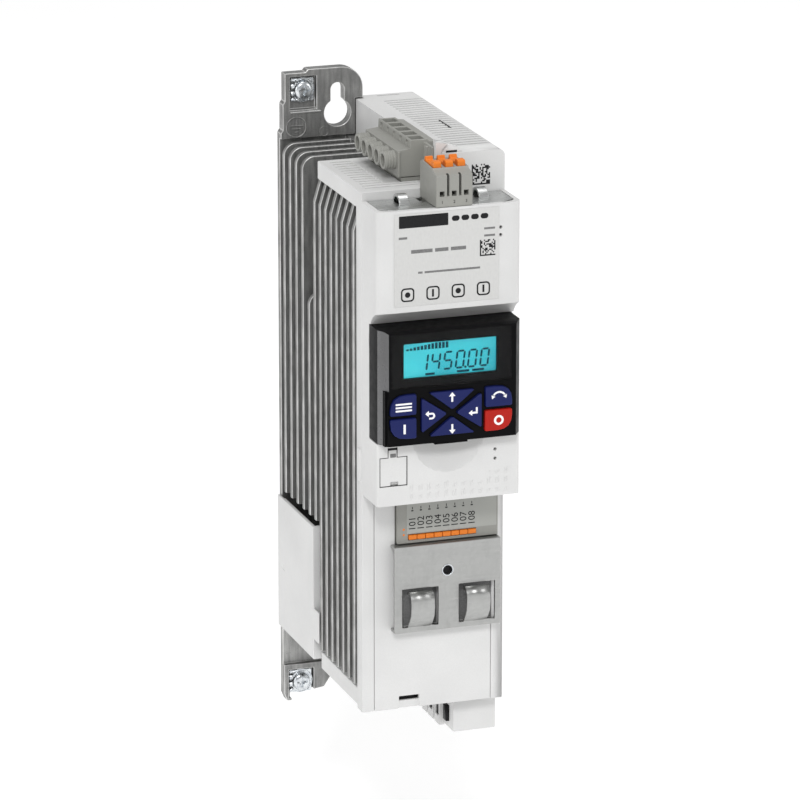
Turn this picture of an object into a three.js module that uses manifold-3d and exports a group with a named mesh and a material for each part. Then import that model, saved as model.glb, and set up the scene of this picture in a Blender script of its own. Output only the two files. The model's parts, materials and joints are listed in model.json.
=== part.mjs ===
// Variable frequency drive in a narrow wall-mounted housing.
//
// Frame: millimetres, +Z up, the wall is the plane Y = 0 and the front looks towards -Y.
// The origin is the centre of the rear face of the mounting plate.
// Inside this file a place is given as x, depth (distance in front of the wall) and height
// (distance above the lowest edge of the mounting plate).

import * as THREE from 'three';
import { mergeVertices } from 'three/addons/utils/BufferGeometryUtils.js';
import Module from 'manifold-3d';

const wasm = await Module();
wasm.setup();

// ---------------------------------------------------------------- driving dimensions

const plateHeight = 265;
const plateThickness = 3;
const flangeThickness = 5;
const plateLeft = -28.8;
const plateRight = 5.7;

const housingLeft = -28.2;
const housingRight = 30;
const housingFront = 104;
const housingBottom = 28.5;
const housingTop = 251.5;
const raisedLeft = 2.7;
const wall = 1.8;
const clearance = 0.15;

const finLeft = -29;
const finThickness = 2.4;
const rearFinDepths = [8.5, 16.4, 24.3, 32.2, 40.1];
const frontFinFirst = 47.6;
const frontFinPitch = 6.86;
const frontFinCount = 8;

const ventTop = 238.9;
const ventBottom = 231.8;
const ventRear = 50.2;

const coverFront = 124;
const coverLowerFront = 122.6;
const coverBottom = 118.6;
const coverTop = 235.5;

const keypadBottom = 144.2;
const keypadTop = 189.4;
const keypadRear = 113.3;
const keypadFront = 128.5;
const keypadRight = 29;
const keyFront = 129.8;

const mountingAxis = -5;
const keyholeRadius = 5.6;
const keyholeSlotRadius = 2.8;
const keyholeHeight = 246.5;
const keyholeSlotTop = 256;
const lowerSlotHeight = 16;

const washerDepth = 2.7;
const earthingPlaces = { top: [-19.4, 256.7], bottom: [-21.5, 7.9] };

const mainsPitch = 7.62;
const pusherPitch = 3.5;
const pusherCount = 8;

// ---------------------------------------------------------------- materials

function finish(color, roughness, metalness = 0) {
  return new THREE.MeshStandardMaterial({ color, roughness, metalness });
}

const castAluminium = finish(0x9c9c9b, 0.55, 0.9);
const zincSteel = finish(0xaeb3b3, 0.4, 0.9);
const whitePlastic = finish(0xe2e2df, 0.5);
const labelFilm = finish(0xd8d8d6, 0.6);
const terminalGrey = finish(0x9a9c94, 0.5);
const leverOrange = finish(0xf07a20, 0.45);
const keypadBlack = finish(0x161618, 0.45);
const keyBlue = finish(0x28357f, 0.4);
const keyRed = finish(0xcf2a1c, 0.4);
const windowGlass = finish(0x0c0d10, 0.1);
const displayTeal = finish(0x35c5cc, 0.5);
const boardGreen = finish(0x1f5a36, 0.5);
const componentBlack = finish(0x26262a, 0.5);
const capacitorSleeve = finish(0x2b3040, 0.4);
const copperWinding = finish(0xb0662a, 0.35, 0.8);

// ---------------------------------------------------------------- solids

function toSolid(geometry) {
  const bare = new THREE.BufferGeometry();
  bare.setAttribute('position', geometry.getAttribute('position'));
  bare.setIndex(geometry.getIndex());
  const merged = mergeVertices(bare, 1e-4);
  return new wasm.Manifold(new wasm.Mesh({
    numProp: 3,
    vertProperties: new Float32Array(merged.getAttribute('position').array),
    triVerts: new Uint32Array(merged.getIndex().array),
  }));
}

function toGeometry(solid) {
  const mesh = solid.getMesh();
  const geometry = new THREE.BufferGeometry();
  geometry.setAttribute('position', new THREE.BufferAttribute(mesh.vertProperties, 3));
  geometry.setIndex(new THREE.BufferAttribute(mesh.triVerts, 1));
  return geometry;
}

function join(...solids) {
  return solids.reduce((whole, solid) => whole.add(solid));
}

function cut(solid, ...tools) {
  return tools.reduce((rest, tool) => rest.subtract(tool), solid);
}

function shapeOf(points) {
  return new THREE.Shape(points.map(([u, v]) => new THREE.Vector2(u, v)));
}

function extrude(shape, length, curveSegments = 6) {
  return new THREE.ExtrudeGeometry(shape, { depth: length, bevelEnabled: false, curveSegments });
}

// A block between two x values, two depths and two heights.
function block(x0, x1, depth0, depth1, height0, height1) {
  const geometry = new THREE.BoxGeometry(x1 - x0, depth1 - depth0, height1 - height0);
  geometry.translate((x0 + x1) / 2, -(depth0 + depth1) / 2, (height0 + height1) / 2);
  return toSolid(geometry);
}

// An outline in x and height, running from one depth to another.
function frontPrism(shape, depth0, depth1, curveSegments) {
  const geometry = extrude(shape, depth1 - depth0, curveSegments);
  geometry.rotateX(Math.PI / 2);
  geometry.translate(0, -depth0, 0);
  return toSolid(geometry);
}

// An outline in depth and height, running from one x to another.
function sidePrism(points, x0, x1) {
  const geometry = extrude(shapeOf(points.map(([depth, height]) => [-depth, height])), x1 - x0);
  const axes = new THREE.Matrix4().makeBasis(
    new THREE.Vector3(0, 1, 0), new THREE.Vector3(0, 0, 1), new THREE.Vector3(1, 0, 0));
  geometry.applyMatrix4(axes);
  geometry.translate(x0, 0, 0);
  return toSolid(geometry);
}

// An outline in x and depth, running from one height to another.
function topPrism(points, height0, height1) {
  const geometry = extrude(shapeOf(points.map(([x, depth]) => [x, -depth])), height1 - height0);
  geometry.translate(0, 0, height0);
  return toSolid(geometry);
}

// A round bar along X, Y (depth) or Z (height), given by its centre and half length.
function bar(along, radius, length, x, depth, height, sides = 20, radiusEnd = radius) {
  const geometry = new THREE.CylinderGeometry(radiusEnd, radius, length, sides);
  if (along === 'x') geometry.rotateZ(-Math.PI / 2);
  if (along === 'z') geometry.rotateX(Math.PI / 2);
  geometry.translate(x, -depth, height);
  return toSolid(geometry);
}

function roundedRect(x0, x1, height0, height1, radius) {
  const shape = new THREE.Shape();
  shape.moveTo(x0 + radius, height0);
  shape.lineTo(x1 - radius, height0);
  shape.absarc(x1 - radius, height0 + radius, radius, -Math.PI / 2, 0);
  shape.lineTo(x1, height1 - radius);
  shape.absarc(x1 - radius, height1 - radius, radius, 0, Math.PI / 2);
  shape.lineTo(x0 + radius, height1);
  shape.absarc(x0 + radius, height1 - radius, radius, Math.PI / 2, Math.PI);
  shape.lineTo(x0, height0 + radius);
  shape.absarc(x0 + radius, height0 + radius, radius, Math.PI, 1.5 * Math.PI);
  return shape;
}

function range(count) {
  return Array.from({ length: count }, (unused, index) => index);
}

// ---------------------------------------------------------------- the assembly

const drive = new THREE.Group();
drive.position.z = -plateHeight / 2;

function add(name, solid, material) {
  const mesh = new THREE.Mesh(toGeometry(solid), material);
  mesh.name = name;
  drive.add(mesh);
}

// ---------------------------------------------------------------- heatsink

// The plate carries the keyhole ear and the upper earthing lug at the top, and at the bottom
// a lug and a small ear on the two sides of the open slot for the lower screw.
function mountingPlateOutline() {
  const slotLeft = mountingAxis - 3.3;
  const slotRight = mountingAxis + 3.3;
  const earRadius = 9;
  const shape = new THREE.Shape();
  shape.moveTo(plateLeft, 3);
  shape.lineTo(-27.6, 0);
  shape.lineTo(-25.6, 0);
  shape.lineTo(-25.6, 2.6);
  shape.lineTo(-11.7, 4.4);
  shape.lineTo(slotLeft, 9.5);
  shape.lineTo(slotLeft, lowerSlotHeight);
  shape.absarc(mountingAxis, lowerSlotHeight, 3.3, Math.PI, 0, true);
  shape.lineTo(slotRight, 8);
  shape.lineTo(1.2, 5.6);
  shape.lineTo(plateRight, 5.6);
  shape.lineTo(plateRight, plateHeight - earRadius);
  shape.absarc(plateRight - earRadius, plateHeight - earRadius, earRadius, 0, Math.PI / 2);
  shape.lineTo(-17.4, plateHeight);
  shape.lineTo(-18.4, plateHeight - 1.2);
  shape.lineTo(plateLeft + 1.8, plateHeight - 1.2);
  shape.lineTo(plateLeft + 1.8, 252.5);
  shape.lineTo(plateLeft + 0.9, 251.3);
  shape.lineTo(plateLeft + 0.9, 240.8);
  shape.lineTo(plateLeft, 239.5);
  return shape;
}

function keyholeOutline() {
  const joinAngle = Math.acos(keyholeSlotRadius / keyholeRadius);
  const shape = new THREE.Shape();
  shape.absarc(mountingAxis, keyholeHeight, keyholeRadius, Math.PI - joinAngle, 2 * Math.PI + joinAngle);
  shape.lineTo(mountingAxis + keyholeSlotRadius, keyholeSlotTop);
  shape.absarc(mountingAxis, keyholeSlotTop, keyholeSlotRadius, 0, Math.PI);
  return shape;
}

function rearFinOutline(top) {
  const cornerRadius = 5;
  const shape = new THREE.Shape();
  shape.moveTo(finLeft, 91);
  shape.lineTo(0, 91);
  shape.lineTo(0, top);
  shape.lineTo(finLeft + cornerRadius, top);
  shape.absarc(finLeft + cornerRadius, top - cornerRadius, cornerRadius, Math.PI / 2, Math.PI);
  return shape;
}

function frontFinOutline(bottom) {
  const top = ventBottom - 1;
  return shapeOf([[finLeft, bottom], [0, bottom], [0, top], [finLeft + 2.6, top], [finLeft, 222]]);
}

function makeHeatsink() {
  const baseLeft = -1;
  const baseRight = 4;
  const plate = frontPrism(mountingPlateOutline(), 0, flangeThickness, 10);
  const thinning = block(plateLeft - 1, plateRight + 1, plateThickness, flangeThickness + 1, 15.6, 237.2);
  const upperRecess = block(-24.9, -13.8, 2.6, 9, 248.8, 262.2);
  const lowerRecess = block(-26.8, -16.2, 2.6, 9, 1, 13.2);
  const rearPocket = block(raisedLeft - 0.2, plateRight + 1, plateThickness, 9, 4, housingTop + 0.4);
  const keyhole = frontPrism(keyholeOutline(), -1, 9, 12);
  const tapping = Object.values(earthingPlaces).map(
    ([x, height]) => bar('y', 1.9, 20, x, 0, height, 12));
  const flange = cut(plate, thinning, upperRecess, lowerRecess, rearPocket, keyhole, ...tapping);
  const base = cut(
    join(
      block(baseLeft, baseRight, plateThickness - 0.5, 97, 31, ventBottom - 1),
      block(baseLeft, baseRight, plateThickness - 0.5, ventRear - 0.4, 31, 236.6),
    ),
    block(baseLeft - 1, 2.5, plateThickness, 47.8, 30, 91),
  );
  const rearFins = rearFinDepths.map((depth, index) => {
    const top = index === rearFinDepths.length - 1 ? 183 : 236.5;
    return frontPrism(rearFinOutline(top), depth - finThickness / 2, depth + finThickness / 2);
  });
  const frontFins = range(frontFinCount).map((index) => {
    const depth = frontFinFirst + index * frontFinPitch;
    const outline = frontFinOutline(index === 0 ? 91 : 38.2);
    return frontPrism(outline, depth - finThickness / 2, depth + finThickness / 2);
  });
  return join(flange, base, ...rearFins, ...frontFins);
}

add('heatsink', makeHeatsink(), castAluminium);

// ---------------------------------------------------------------- earthing screws

function makeScrew(x, depth, height) {
  const head = bar('y', 3.6, 2.4, x, depth + 1.2, height, 20);
  const shank = bar('y', 1.7, 3.6, x, depth - 1.6, height, 12);
  const slots = [block(x - 2.2, x + 2.2, depth + 1.3, depth + 3, height - 0.4, height + 0.4),
    block(x - 0.4, x + 0.4, depth + 1.3, depth + 3, height - 2.2, height + 2.2)];
  return cut(join(head, shank), ...slots);
}

function makeWasher(x, depth, height) {
  const half = 4.8;
  const square = frontPrism(roundedRect(x - half, x + half, height - half, height + half, 0.8), depth, depth + 1.2);
  return cut(square, bar('y', 2.1, 6, x, depth, height, 16));
}

for (const [end, [x, height]] of Object.entries(earthingPlaces)) {
  add(`earth_washer_${end}`, makeWasher(x, washerDepth, height), zincSteel);
  add(`earth_screw_${end}`, makeScrew(x, washerDepth + 1.35, height), zincSteel);
}

// ---------------------------------------------------------------- fan unit

const fanCentre = { x: -12.9, depth: 24.5 };
const fanBottom = 56;
const fanThickness = 15;
const fanBoreRadius = 13.9;

// Everything but a thin lap beside the plate starts in front of the lower lug and its screw,
// so the unit can be drawn out downwards.
function makeFanTray() {
  const rear = 7.2;
  const sideWall = block(-30, -28.5, rear, 47.5, 32.3, 88.2);
  const sideLap = block(-30, plateLeft - 0.15, 1, rear + 0.1, 32.3, 88.2);
  const frontWall = block(-29, -1.6, 45.9, 47.4, 32.3, 88.2);
  const frontLap = block(-30, -26.6, 45.9, 47.5, 32.3, 88.2);
  const shelf = block(-29, 2.2, rear, 46.5, 71.3, 73);
  const outlet = bar('z', fanBoreRadius, 8, fanCentre.x, fanCentre.depth, 72, 28);
  const latchStem = block(-30, -29.3, 47, 54, 41, 54);
  const grip = block(-30.5, -29.8, 6.5, 10.5, 58, 60);
  return cut(join(sideWall, sideLap, frontWall, frontLap, latchStem, cut(shelf, outlet)), grip);
}

function makeFanFrame() {
  const half = 14.9;
  const { x, depth } = fanCentre;
  const top = fanBottom + fanThickness;
  const body = block(x - half, x + half, depth - half, depth + half, fanBottom, top);
  const bore = bar('z', fanBoreRadius, fanThickness + 2, x, depth, fanBottom + fanThickness / 2, 28);
  const hubMount = bar('z', 6.6, 1.6, x, depth, fanBottom + 0.8, 20);
  const struts = [0, 1, 2].map((index) => {
    const strut = new THREE.BoxGeometry(fanBoreRadius, 2, 1.6);
    strut.translate(fanBoreRadius / 2 + 0.6, 0, 0);
    strut.rotateZ((index * 2 * Math.PI) / 3);
    strut.translate(x, -depth, fanBottom + 0.8);
    return toSolid(strut);
  });
  return join(cut(body, bore), hubMount, ...struts);
}

function makeFanRotor() {
  const { x, depth } = fanCentre;
  const bottom = fanBottom + 2.2;
  const height = 11.8;
  const hub = bar('z', 6.4, height, x, depth, bottom + height / 2, 20);
  const blades = range(7).map((index) => {
    const blade = new THREE.BoxGeometry(8, 1, 12.2);
    blade.rotateX(0.7);
    blade.translate(9, 0, 0);
    blade.rotateZ((index * 2 * Math.PI) / 7);
    blade.translate(x, -depth, bottom + height / 2);
    return toSolid(blade);
  });
  return join(hub, ...blades);
}

add('fan_tray', makeFanTray(), whitePlastic);
add('fan_frame', makeFanFrame(), componentBlack);
add('fan_rotor', makeFanRotor(), componentBlack);

// ---------------------------------------------------------------- housing

function raisedOutline(inset) {
  const radius = 2.4 - inset / 2;
  const right = housingRight - inset;
  const top = housingTop - inset;
  const shape = new THREE.Shape();
  shape.moveTo(raisedLeft + inset, housingBottom + inset);
  shape.lineTo(right, housingBottom + inset);
  shape.lineTo(right, top - radius);
  shape.absarc(right - radius, top - radius, radius, 0, Math.PI / 2);
  shape.lineTo(raisedLeft + inset, top);
  return shape;
}

function makeSideHousing() {
  const shell = cut(
    frontPrism(raisedOutline(0), 0, housingFront),
    frontPrism(raisedOutline(wall), wall, housingFront - wall),
  );
  const plateNotch = block(raisedLeft - 1, plateRight + 0.4, -1, flangeThickness + clearance, 20, 260);
  const heatsinkWindow = block(raisedLeft - 1, raisedLeft + wall + 0.1, 2, 100, 20, 236.9);
  const frontWindow = block(raisedLeft - 1, 25.3, 97, 110, 20, 235.2);
  const motorWindow = block(11.6, 28.3, 57, 97, 20, 35);
  const terminalWindow = block(25, 27.5, 97, 110, 95, 138);
  const ventSlots = range(23).map((index) => {
    const depth = 12 + index * 3.6;
    return block(12, 31, depth, depth + 1.5, housingTop - 4.4, 260);
  });
  const longSlot = block(21.6, 22.5, 50, 64.6, housingTop - 4, 260);
  const rearSlot = block(12.4, 22, 2.2, 3.1, housingTop - 1.2, 260);
  const plugCatch = block(3.4, 6.2, 92.9, 97.4, housingTop - 1.4, 260);
  const tools = [plateNotch, heatsinkWindow, frontWindow, motorWindow, terminalWindow, longSlot, rearSlot, plugCatch];
  return join(cut(shell, ...tools, ...ventSlots), makeFrontBoss());
}

// A boss at the front of the raised part, beside the end of the mains plug: its top falls away
// to the right, and a round hollow in its face ends in a slot.
function makeFrontBoss() {
  const rear = 98.6;
  const top = housingTop + 4.6;
  const outline = shapeOf([
    [raisedLeft, 240], [13.6, 240], [13.6, housingTop - 0.2], [11.4, top - 2.6], [8.7, top - 1.6],
    [5.6, top - 0.6], [raisedLeft, top],
  ]);
  const edge = block(1.9, raisedLeft + 0.1, 101.9, housingFront, 241, top);
  const hollow = bar('y', 4.3, 4, 8.6, housingFront + 0.7, housingTop - 0.7, 32, 4.9);
  const slot = block(6.5, 10.9, 99.6, 110, housingTop - 0.2, housingTop + 0.8);
  return cut(join(frontPrism(outline, rear, housingFront), edge), hollow, slot);
}

function makeFrontFrame() {
  const right = raisedLeft - clearance;
  const columnRear = 97.6;
  const vent = cut(
    block(housingLeft, right, ventRear, housingFront, ventBottom, ventTop),
    block(housingLeft + wall, right - wall, ventRear + wall, housingFront - 3, ventBottom - 1, ventTop - wall),
  );
  const slots = range(13).map((index) => {
    const depth = ventRear + 3.4 + index * 3.6;
    const end = depth > 92 ? -2 : -15.2;
    return block(-24.5, end, depth, depth + 1.5, ventTop - 3, ventTop + 1);
  });
  const headerWindow = block(-8.3, right - wall, 55.6, 92.3, ventTop - 3, ventTop + 1);
  const column = block(housingLeft, -23.2, columnRear, housingFront, housingBottom, ventBottom + 1);
  const web = cut(
    block(housingLeft, right, columnRear, 99.2, 30, ventBottom + 1),
    block(-13.6, -3.8, columnRear - 1, 100, 29, 34.6),
  );
  const rimSide = block(housingLeft, housingLeft + 2.2, 52.4, columnRear + 1, 30, 37);
  const rimRear = block(housingLeft, -1.4, 52.4, 54.4, 30, 37);
  const sideClip = block(housingLeft - 0.8, housingLeft + 1, 100, 103, 123.5, 136.5);
  return join(cut(vent, ...slots, headerWindow), column, web, rimSide, rimRear, sideClip);
}

function makeLowerFrontPanel() {
  const rear = housingFront - 2.1;
  const panel = block(-23.05, 25.15, rear, housingFront, housingBottom, 118.5);
  const terminalWindow = block(-14.6, 27, rear - 1, 110, 95, 120);
  const latchWindow = block(-12.9, -4.5, rear - 1, 110, 31.6, 33.6);
  const latchStep = block(-12.9, -4.5, housingFront - 0.8, 110, 20, 32);
  return cut(panel, terminalWindow, latchWindow, latchStep);
}

add('side_housing', makeSideHousing(), whitePlastic);
add('front_frame', makeFrontFrame(), whitePlastic);
add('lower_front_panel', makeLowerFrontPanel(), whitePlastic);

// ---------------------------------------------------------------- control cover

// The upper part has wide rounded corners, the lower part nearly square ones.
function coverOutline(front, cornerWidth, cornerDepth, rear, inset) {
  const left = housingLeft + inset;
  const right = housingRight - inset;
  const steps = 6;
  const leftCorner = range(steps + 1).map((step) => {
    const angle = (step / steps) * (Math.PI / 2);
    return [left + cornerWidth * (1 - Math.sin(angle)), front - cornerDepth * (1 - Math.cos(angle))];
  });
  const rightCorner = leftCorner.map(([x, depth]) => [left + right - x, depth]).reverse();
  return [[left, rear], [right, rear], ...rightCorner, ...leftCorner].filter(
    (point, index, all) => index === 0 || Math.hypot(point[0] - all[index - 1][0], point[1] - all[index - 1][1]) > 1e-3);
}

const coverRear = housingFront + clearance;
const recessRear = keypadRear - clearance;

const memoryBox = { left: -26.9, right: -16.2, bottom: 126.7, top: 137.9, neckLeft: -23.6, neckRight: -20.2 };

function memoryOutline(gap, neckGap) {
  const { left, right, bottom, top, neckLeft, neckRight } = memoryBox;
  const neckTop = 141 + neckGap;
  return shapeOf([
    [left - gap, bottom - gap], [right + gap, bottom - gap], [right + gap, top + gap],
    [neckRight + gap, top + gap], [neckRight + gap, neckTop], [neckLeft - gap, neckTop],
    [neckLeft - gap, top + gap], [left - gap, top + gap],
  ]);
}

// The finger dish under the keypad is a shallow part of this ball.
const dishRadius = 27.8;
const dishPlace = { x: 0.6, depth: 146.3, height: 144.7 };

function ball(radius, { x, depth, height }) {
  const geometry = new THREE.SphereGeometry(radius, 96, 64);
  geometry.rotateX(Math.PI / 2);
  geometry.translate(x, -depth, height);
  return toSolid(geometry);
}

function makeControlCover() {
  const upper = topPrism(coverOutline(coverFront, 6.5, 3.5, coverRear, 0), 165, coverTop);
  const lower = topPrism(coverOutline(coverLowerFront, 1.2, 1.2, coverRear, 0), coverBottom, 165);
  const upperSpace = topPrism(coverOutline(coverFront - wall, 6, 3.2, coverRear - 2, wall), 180, coverTop + 1);
  const lowerSpace = topPrism(coverOutline(coverLowerFront - wall, 1, 1, coverRear - 2, wall), coverBottom - 1, 180);
  const recessBack = block(-35, 35, recessRear - wall, 140, keypadBottom - 2.4, keypadTop + 8.4);
  const space = cut(join(upperSpace, lowerSpace), recessBack);
  const recess = block(-35, 35, recessRear, 140, keypadBottom - 0.4, keypadTop + 0.2);
  const brow = bar('x', 13, 70, 0, coverFront + 1.6, keypadTop - 6.6, 48);
  const dish = ball(dishRadius, dishPlace);
  const memoryWindow = frontPrism(memoryOutline(0.3, 1), 100, 140);
  const lamps = [[19.9, 137.4], [19.9, 133.7], [21.2, 226.1], [21.2, 223.1]].map(
    ([x, height]) => bar('y', 0.7, 10, x, coverFront, height, 10));
  const hollow = cut(join(upper, lower), space, recess, brow, memoryWindow, ...lamps);
  const dishShell = ball(dishRadius + wall, dishPlace).intersect(
    block(-30, 30, 110, coverLowerFront - 0.2, coverBottom + 4, keypadBottom - 0.4));
  return cut(join(hollow, dishShell), dish);
}

add('control_cover', makeControlCover(), whitePlastic);
add('front_label', block(-21.8, 20.6, coverFront + 0.02, coverFront + 0.2, 198, 234.4), labelFilm);
add('memory_module', makeMemoryModule(), whitePlastic);

function makeMemoryModule() {
  const body = frontPrism(memoryOutline(0, 0), coverLowerFront - 9, coverLowerFront - 0.1);
  const slot = block(-22.8, -19.6, coverLowerFront - 1.2, coverLowerFront + 1, 126, 128.2);
  return cut(body, slot);
}

// ---------------------------------------------------------------- keypad

const keyFaceCentre = 155.8;

// Each key is an outline in x and height, given by its corners and drawn with small fillets.
function filleted(points, radii) {
  const shape = new THREE.Shape();
  points.forEach((point, index) => {
    const before = points[(index + points.length - 1) % points.length];
    const after = points[(index + 1) % points.length];
    const corner = new THREE.Vector2(...point);
    const back = new THREE.Vector2(...before).sub(corner).normalize().multiplyScalar(radii[index]).add(corner);
    const ahead = new THREE.Vector2(...after).sub(corner).normalize().multiplyScalar(radii[index]).add(corner);
    if (index === 0) shape.moveTo(back.x, back.y);
    else shape.lineTo(back.x, back.y);
    shape.quadraticCurveTo(corner.x, corner.y, ahead.x, ahead.y);
  });
  return shape;
}

// Corner order: lower left, lower right, upper right, upper left, or around a triangle.
const keyOutlines = {
  control: [[[-25.1, 156.5], [-14.6, 156.5], [-14.6, 164.6], [-25.1, 164.6]], [0.8, 0.8, 0.8, 6.5]],
  run: [[[-25.1, 147.1], [-14.6, 147.1], [-14.6, 155.2], [-25.1, 155.2]], [6.5, 0.8, 0.8, 0.8]],
  up: [[[-0.1, 157.2], [9, 164.6], [-9.5, 164.6]], [1, 1, 1]],
  down: [[[-0.1, 154.4], [-9.4, 147.3], [9, 147.3]], [1, 1, 1]],
  back: [[[-2.2, keyFaceCentre], [-12.5, 162.8], [-12.5, 148.9]], [1, 1, 1]],
  enter: [[[1.5, keyFaceCentre], [11.8, 148.9], [11.8, 162.8]], [1, 1, 1]],
  direction: [[[13.4, 156.7], [24.3, 156.7], [24.3, 164.8], [13.4, 164.8]], [0.8, 0.8, 6, 0.8]],
  stop: [[[13.2, 147.1], [24.3, 147.1], [24.3, 155.4], [13.2, 155.4]], [0.8, 6, 0.8, 0.8]],
};

function keyShape(name, growth) {
  const [points, radii] = keyOutlines[name];
  const middle = points.reduce((sum, point) => sum.add(new THREE.Vector2(...point)), new THREE.Vector2());
  middle.divideScalar(points.length);
  const grown = points.map(([x, height]) => {
    const reach = middle.distanceTo(new THREE.Vector2(x, height));
    const factor = 1 + (growth * (points.length === 3 ? 1.6 : 1.35)) / reach;
    return [middle.x + (x - middle.x) * factor, middle.y + (height - middle.y) * factor];
  });
  return filleted(grown, radii.map((radius) => radius + growth));
}

const keypadSection = [
  [housingLeft, keypadRear], [keypadRight, keypadRear], [keypadRight, 124.2], [26.2, keypadFront],
  [-25.4, keypadFront], [housingLeft, 123],
];
const windowBox = { left: -24.2, right: 24.2, bottom: 166.9, top: 188 };
const displayBox = { left: -19.2, right: 18.6, bottom: 170.4, top: 184.2 };

function makeKeypadHousing() {
  const outside = topPrism(keypadSection, keypadBottom, keypadTop);
  const inside = topPrism([
    [housingLeft + 1.5, keypadRear - 1], [keypadRight - 1.5, keypadRear - 1], [keypadRight - 1.5, 123.6],
    [25.4, keypadFront - 2.1], [-24.6, keypadFront - 2.1], [housingLeft + 1.5, 122.1],
  ], keypadBottom + 1.5, keypadTop - 1.5);
  const keyField = block(-26.9, 26.4, 120, keypadFront - 0.7, keypadBottom, 166.2);
  const topChamfer = sidePrism([[124.5, keypadTop + 0.4], [130, keypadTop - 1], [130, keypadTop + 0.4]], -40, 40);
  const windowPocket = block(
    windowBox.left - 0.1, windowBox.right + 0.1, keypadFront - 0.9, 140,
    windowBox.bottom - 0.1, windowBox.top + 0.1);
  const { left, right, bottom, top } = displayBox;
  const aperture = frontPrism(roundedRect(left, right, bottom, top, 0.6), 120, 140);
  const keyHoles = Object.keys(keyOutlines).map((name) => frontPrism(keyShape(name, 0.25), 120, 140, 4));
  const releaseTab = block(-6.3, 7, 124.4, 127, keypadBottom - 1.2, keypadBottom + 0.5);
  return cut(join(outside, keyField, releaseTab), inside, topChamfer, windowPocket, aperture, ...keyHoles);
}

add('keypad_housing', makeKeypadHousing(), keypadBlack);
add('keypad_back', block(
  housingLeft + 1.65, keypadRight - 1.65, keypadRear + 0.1, keypadRear + 1.7,
  keypadBottom + 1.65, keypadTop - 1.65), keypadBlack);
add('keypad_circuit_board', block(-24.4, 25.2, 121, 122.6, keypadBottom + 2, keypadTop - 2), boardGreen);
add('display_module', block(-22, 21, 122.8, 126.2, 167.2, 186.4), displayTeal);
add('display_window', block(
  windowBox.left, windowBox.right, keypadFront - 0.8, keypadFront + 0.15,
  windowBox.bottom, windowBox.top), windowGlass);
for (const name of Object.keys(keyOutlines)) {
  add(`key_${name}`, frontPrism(keyShape(name, 0), 123.6, keyFront, 4), name === 'stop' ? keyRed : keyBlue);
}

// ---------------------------------------------------------------- mains terminal

const mainsFirst = 57.9;
const mainsDepths = range(5).map((index) => mainsFirst + index * mainsPitch);
const mainsRear = mainsFirst - 4.1;
const mainsFront = mainsDepths[4] + 4.1;

function makeMainsHeader() {
  const body = block(-7.9, 0.5, mainsRear + 2.2, mainsFront - 0.2, 231.2, 240.3);
  const blades = mainsDepths.map((depth) => block(-4.2, -3.4, depth - 1.2, depth + 1.2, 240, 245.5));
  return join(body, ...blades);
}

function makeMainsPlug() {
  const section = shapeOf([
    [-9.6, 240.6], [2.4, 240.6], [2.4, 252], [6.2, 252], [6.2, 253.8], [3.4, 254.1],
    [2.6, 254.9], [-4.3, 254.9], [-4.5, 251.6], [-9.6, 250.9],
  ]);
  const body = frontPrism(section, mainsRear, mainsFront);
  const endWeb = block(1.3, 2.4, mainsFront - 0.1, 101.4, 240.6, 253.6);
  const endRib = block(0.2, 1.4, 95.4, 97.4, 240.6, 253.2);
  const endFrame = block(-9.6, -8.6, mainsFront - 0.1, mainsFront + 0.5, 240.6, 250.6);
  const funnels = mainsDepths.map((depth) => bar('x', 3.6, 5.8, -11.5, depth, 246.9, 20));
  const entries = mainsDepths.map((depth) => bar('x', 2.5, 9.6, -10.2, depth, 246.9, 16));
  const screwWells = mainsDepths.map((depth) => block(-3.5, 1.7, depth - 2.9, depth + 2.9, 250.4, 256));
  const scallops = mainsDepths.map((depth) => bar('z', 1.5, 2.4, -5.1, depth, 253, 16));
  const contacts = mainsDepths.map((depth) => block(-4.6, -3, depth - 1.6, depth + 1.6, 239, 246.2));
  return cut(
    join(body, endWeb, endRib, endFrame, ...funnels), ...entries, ...screwWells, ...scallops, ...contacts);
}

add('mains_header', makeMainsHeader(), terminalGrey);
add('mains_plug', makeMainsPlug(), terminalGrey);

// ---------------------------------------------------------------- relay terminal

const relayPitch = 4.85;
const relayRear = 104.5;
const relayFront = 123.6;
const relayBottom = 235.6;
const relayCentres = range(3).map((index) => -2.3 + index * relayPitch);

function makeRelayTerminal() {
  const profile = [
    [relayRear, relayBottom], [relayFront, relayBottom], [relayFront, 248], [119.4, 249.2], [118.6, 249.9],
    [106.4, 250.6], [relayRear, 249.6],
  ];
  const body = sidePrism(profile, -4.7, 9.9);
  const foot = block(-4.3, 9.5, 105.4, 112, 231.3, relayBottom + 0.5);
  const wells = relayCentres.map((x) => block(x - 1.75, x + 1.75, 106.8, 118.3, 243.6, 256));
  const entries = relayCentres.map((x) => block(x - 0.95, x + 0.95, 110, 125, 239.8, 241.8));
  const slots = relayCentres.slice(0, 2).map(
    (x) => block(x + relayPitch / 2 - 0.45, x + relayPitch / 2 + 0.45, 110, 125, 239.8, 248.4));
  return cut(join(body, foot), ...wells, ...entries, ...slots);
}

add('relay_terminal', makeRelayTerminal(), terminalGrey);
relayCentres.forEach((x, index) => {
  const profile = [
    [107, 245.4], [118.1, 245.4], [118.1, 251.6], [117.4, 252.2], [115, 252.3], [114, 251],
    [109, 250.8], [108.4, 252.2], [107.6, 252.2], [107, 251.6]];
  add(`relay_lever_${index + 1}`, sidePrism(profile, x - 1.55, x + 1.55), leverOrange);
});

// ---------------------------------------------------------------- control terminal strip

const pusherFirst = -8.1;
const pusherWidth = 3.3;
const pusherCentres = range(pusherCount).map((index) => pusherFirst + index * pusherPitch);

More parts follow.
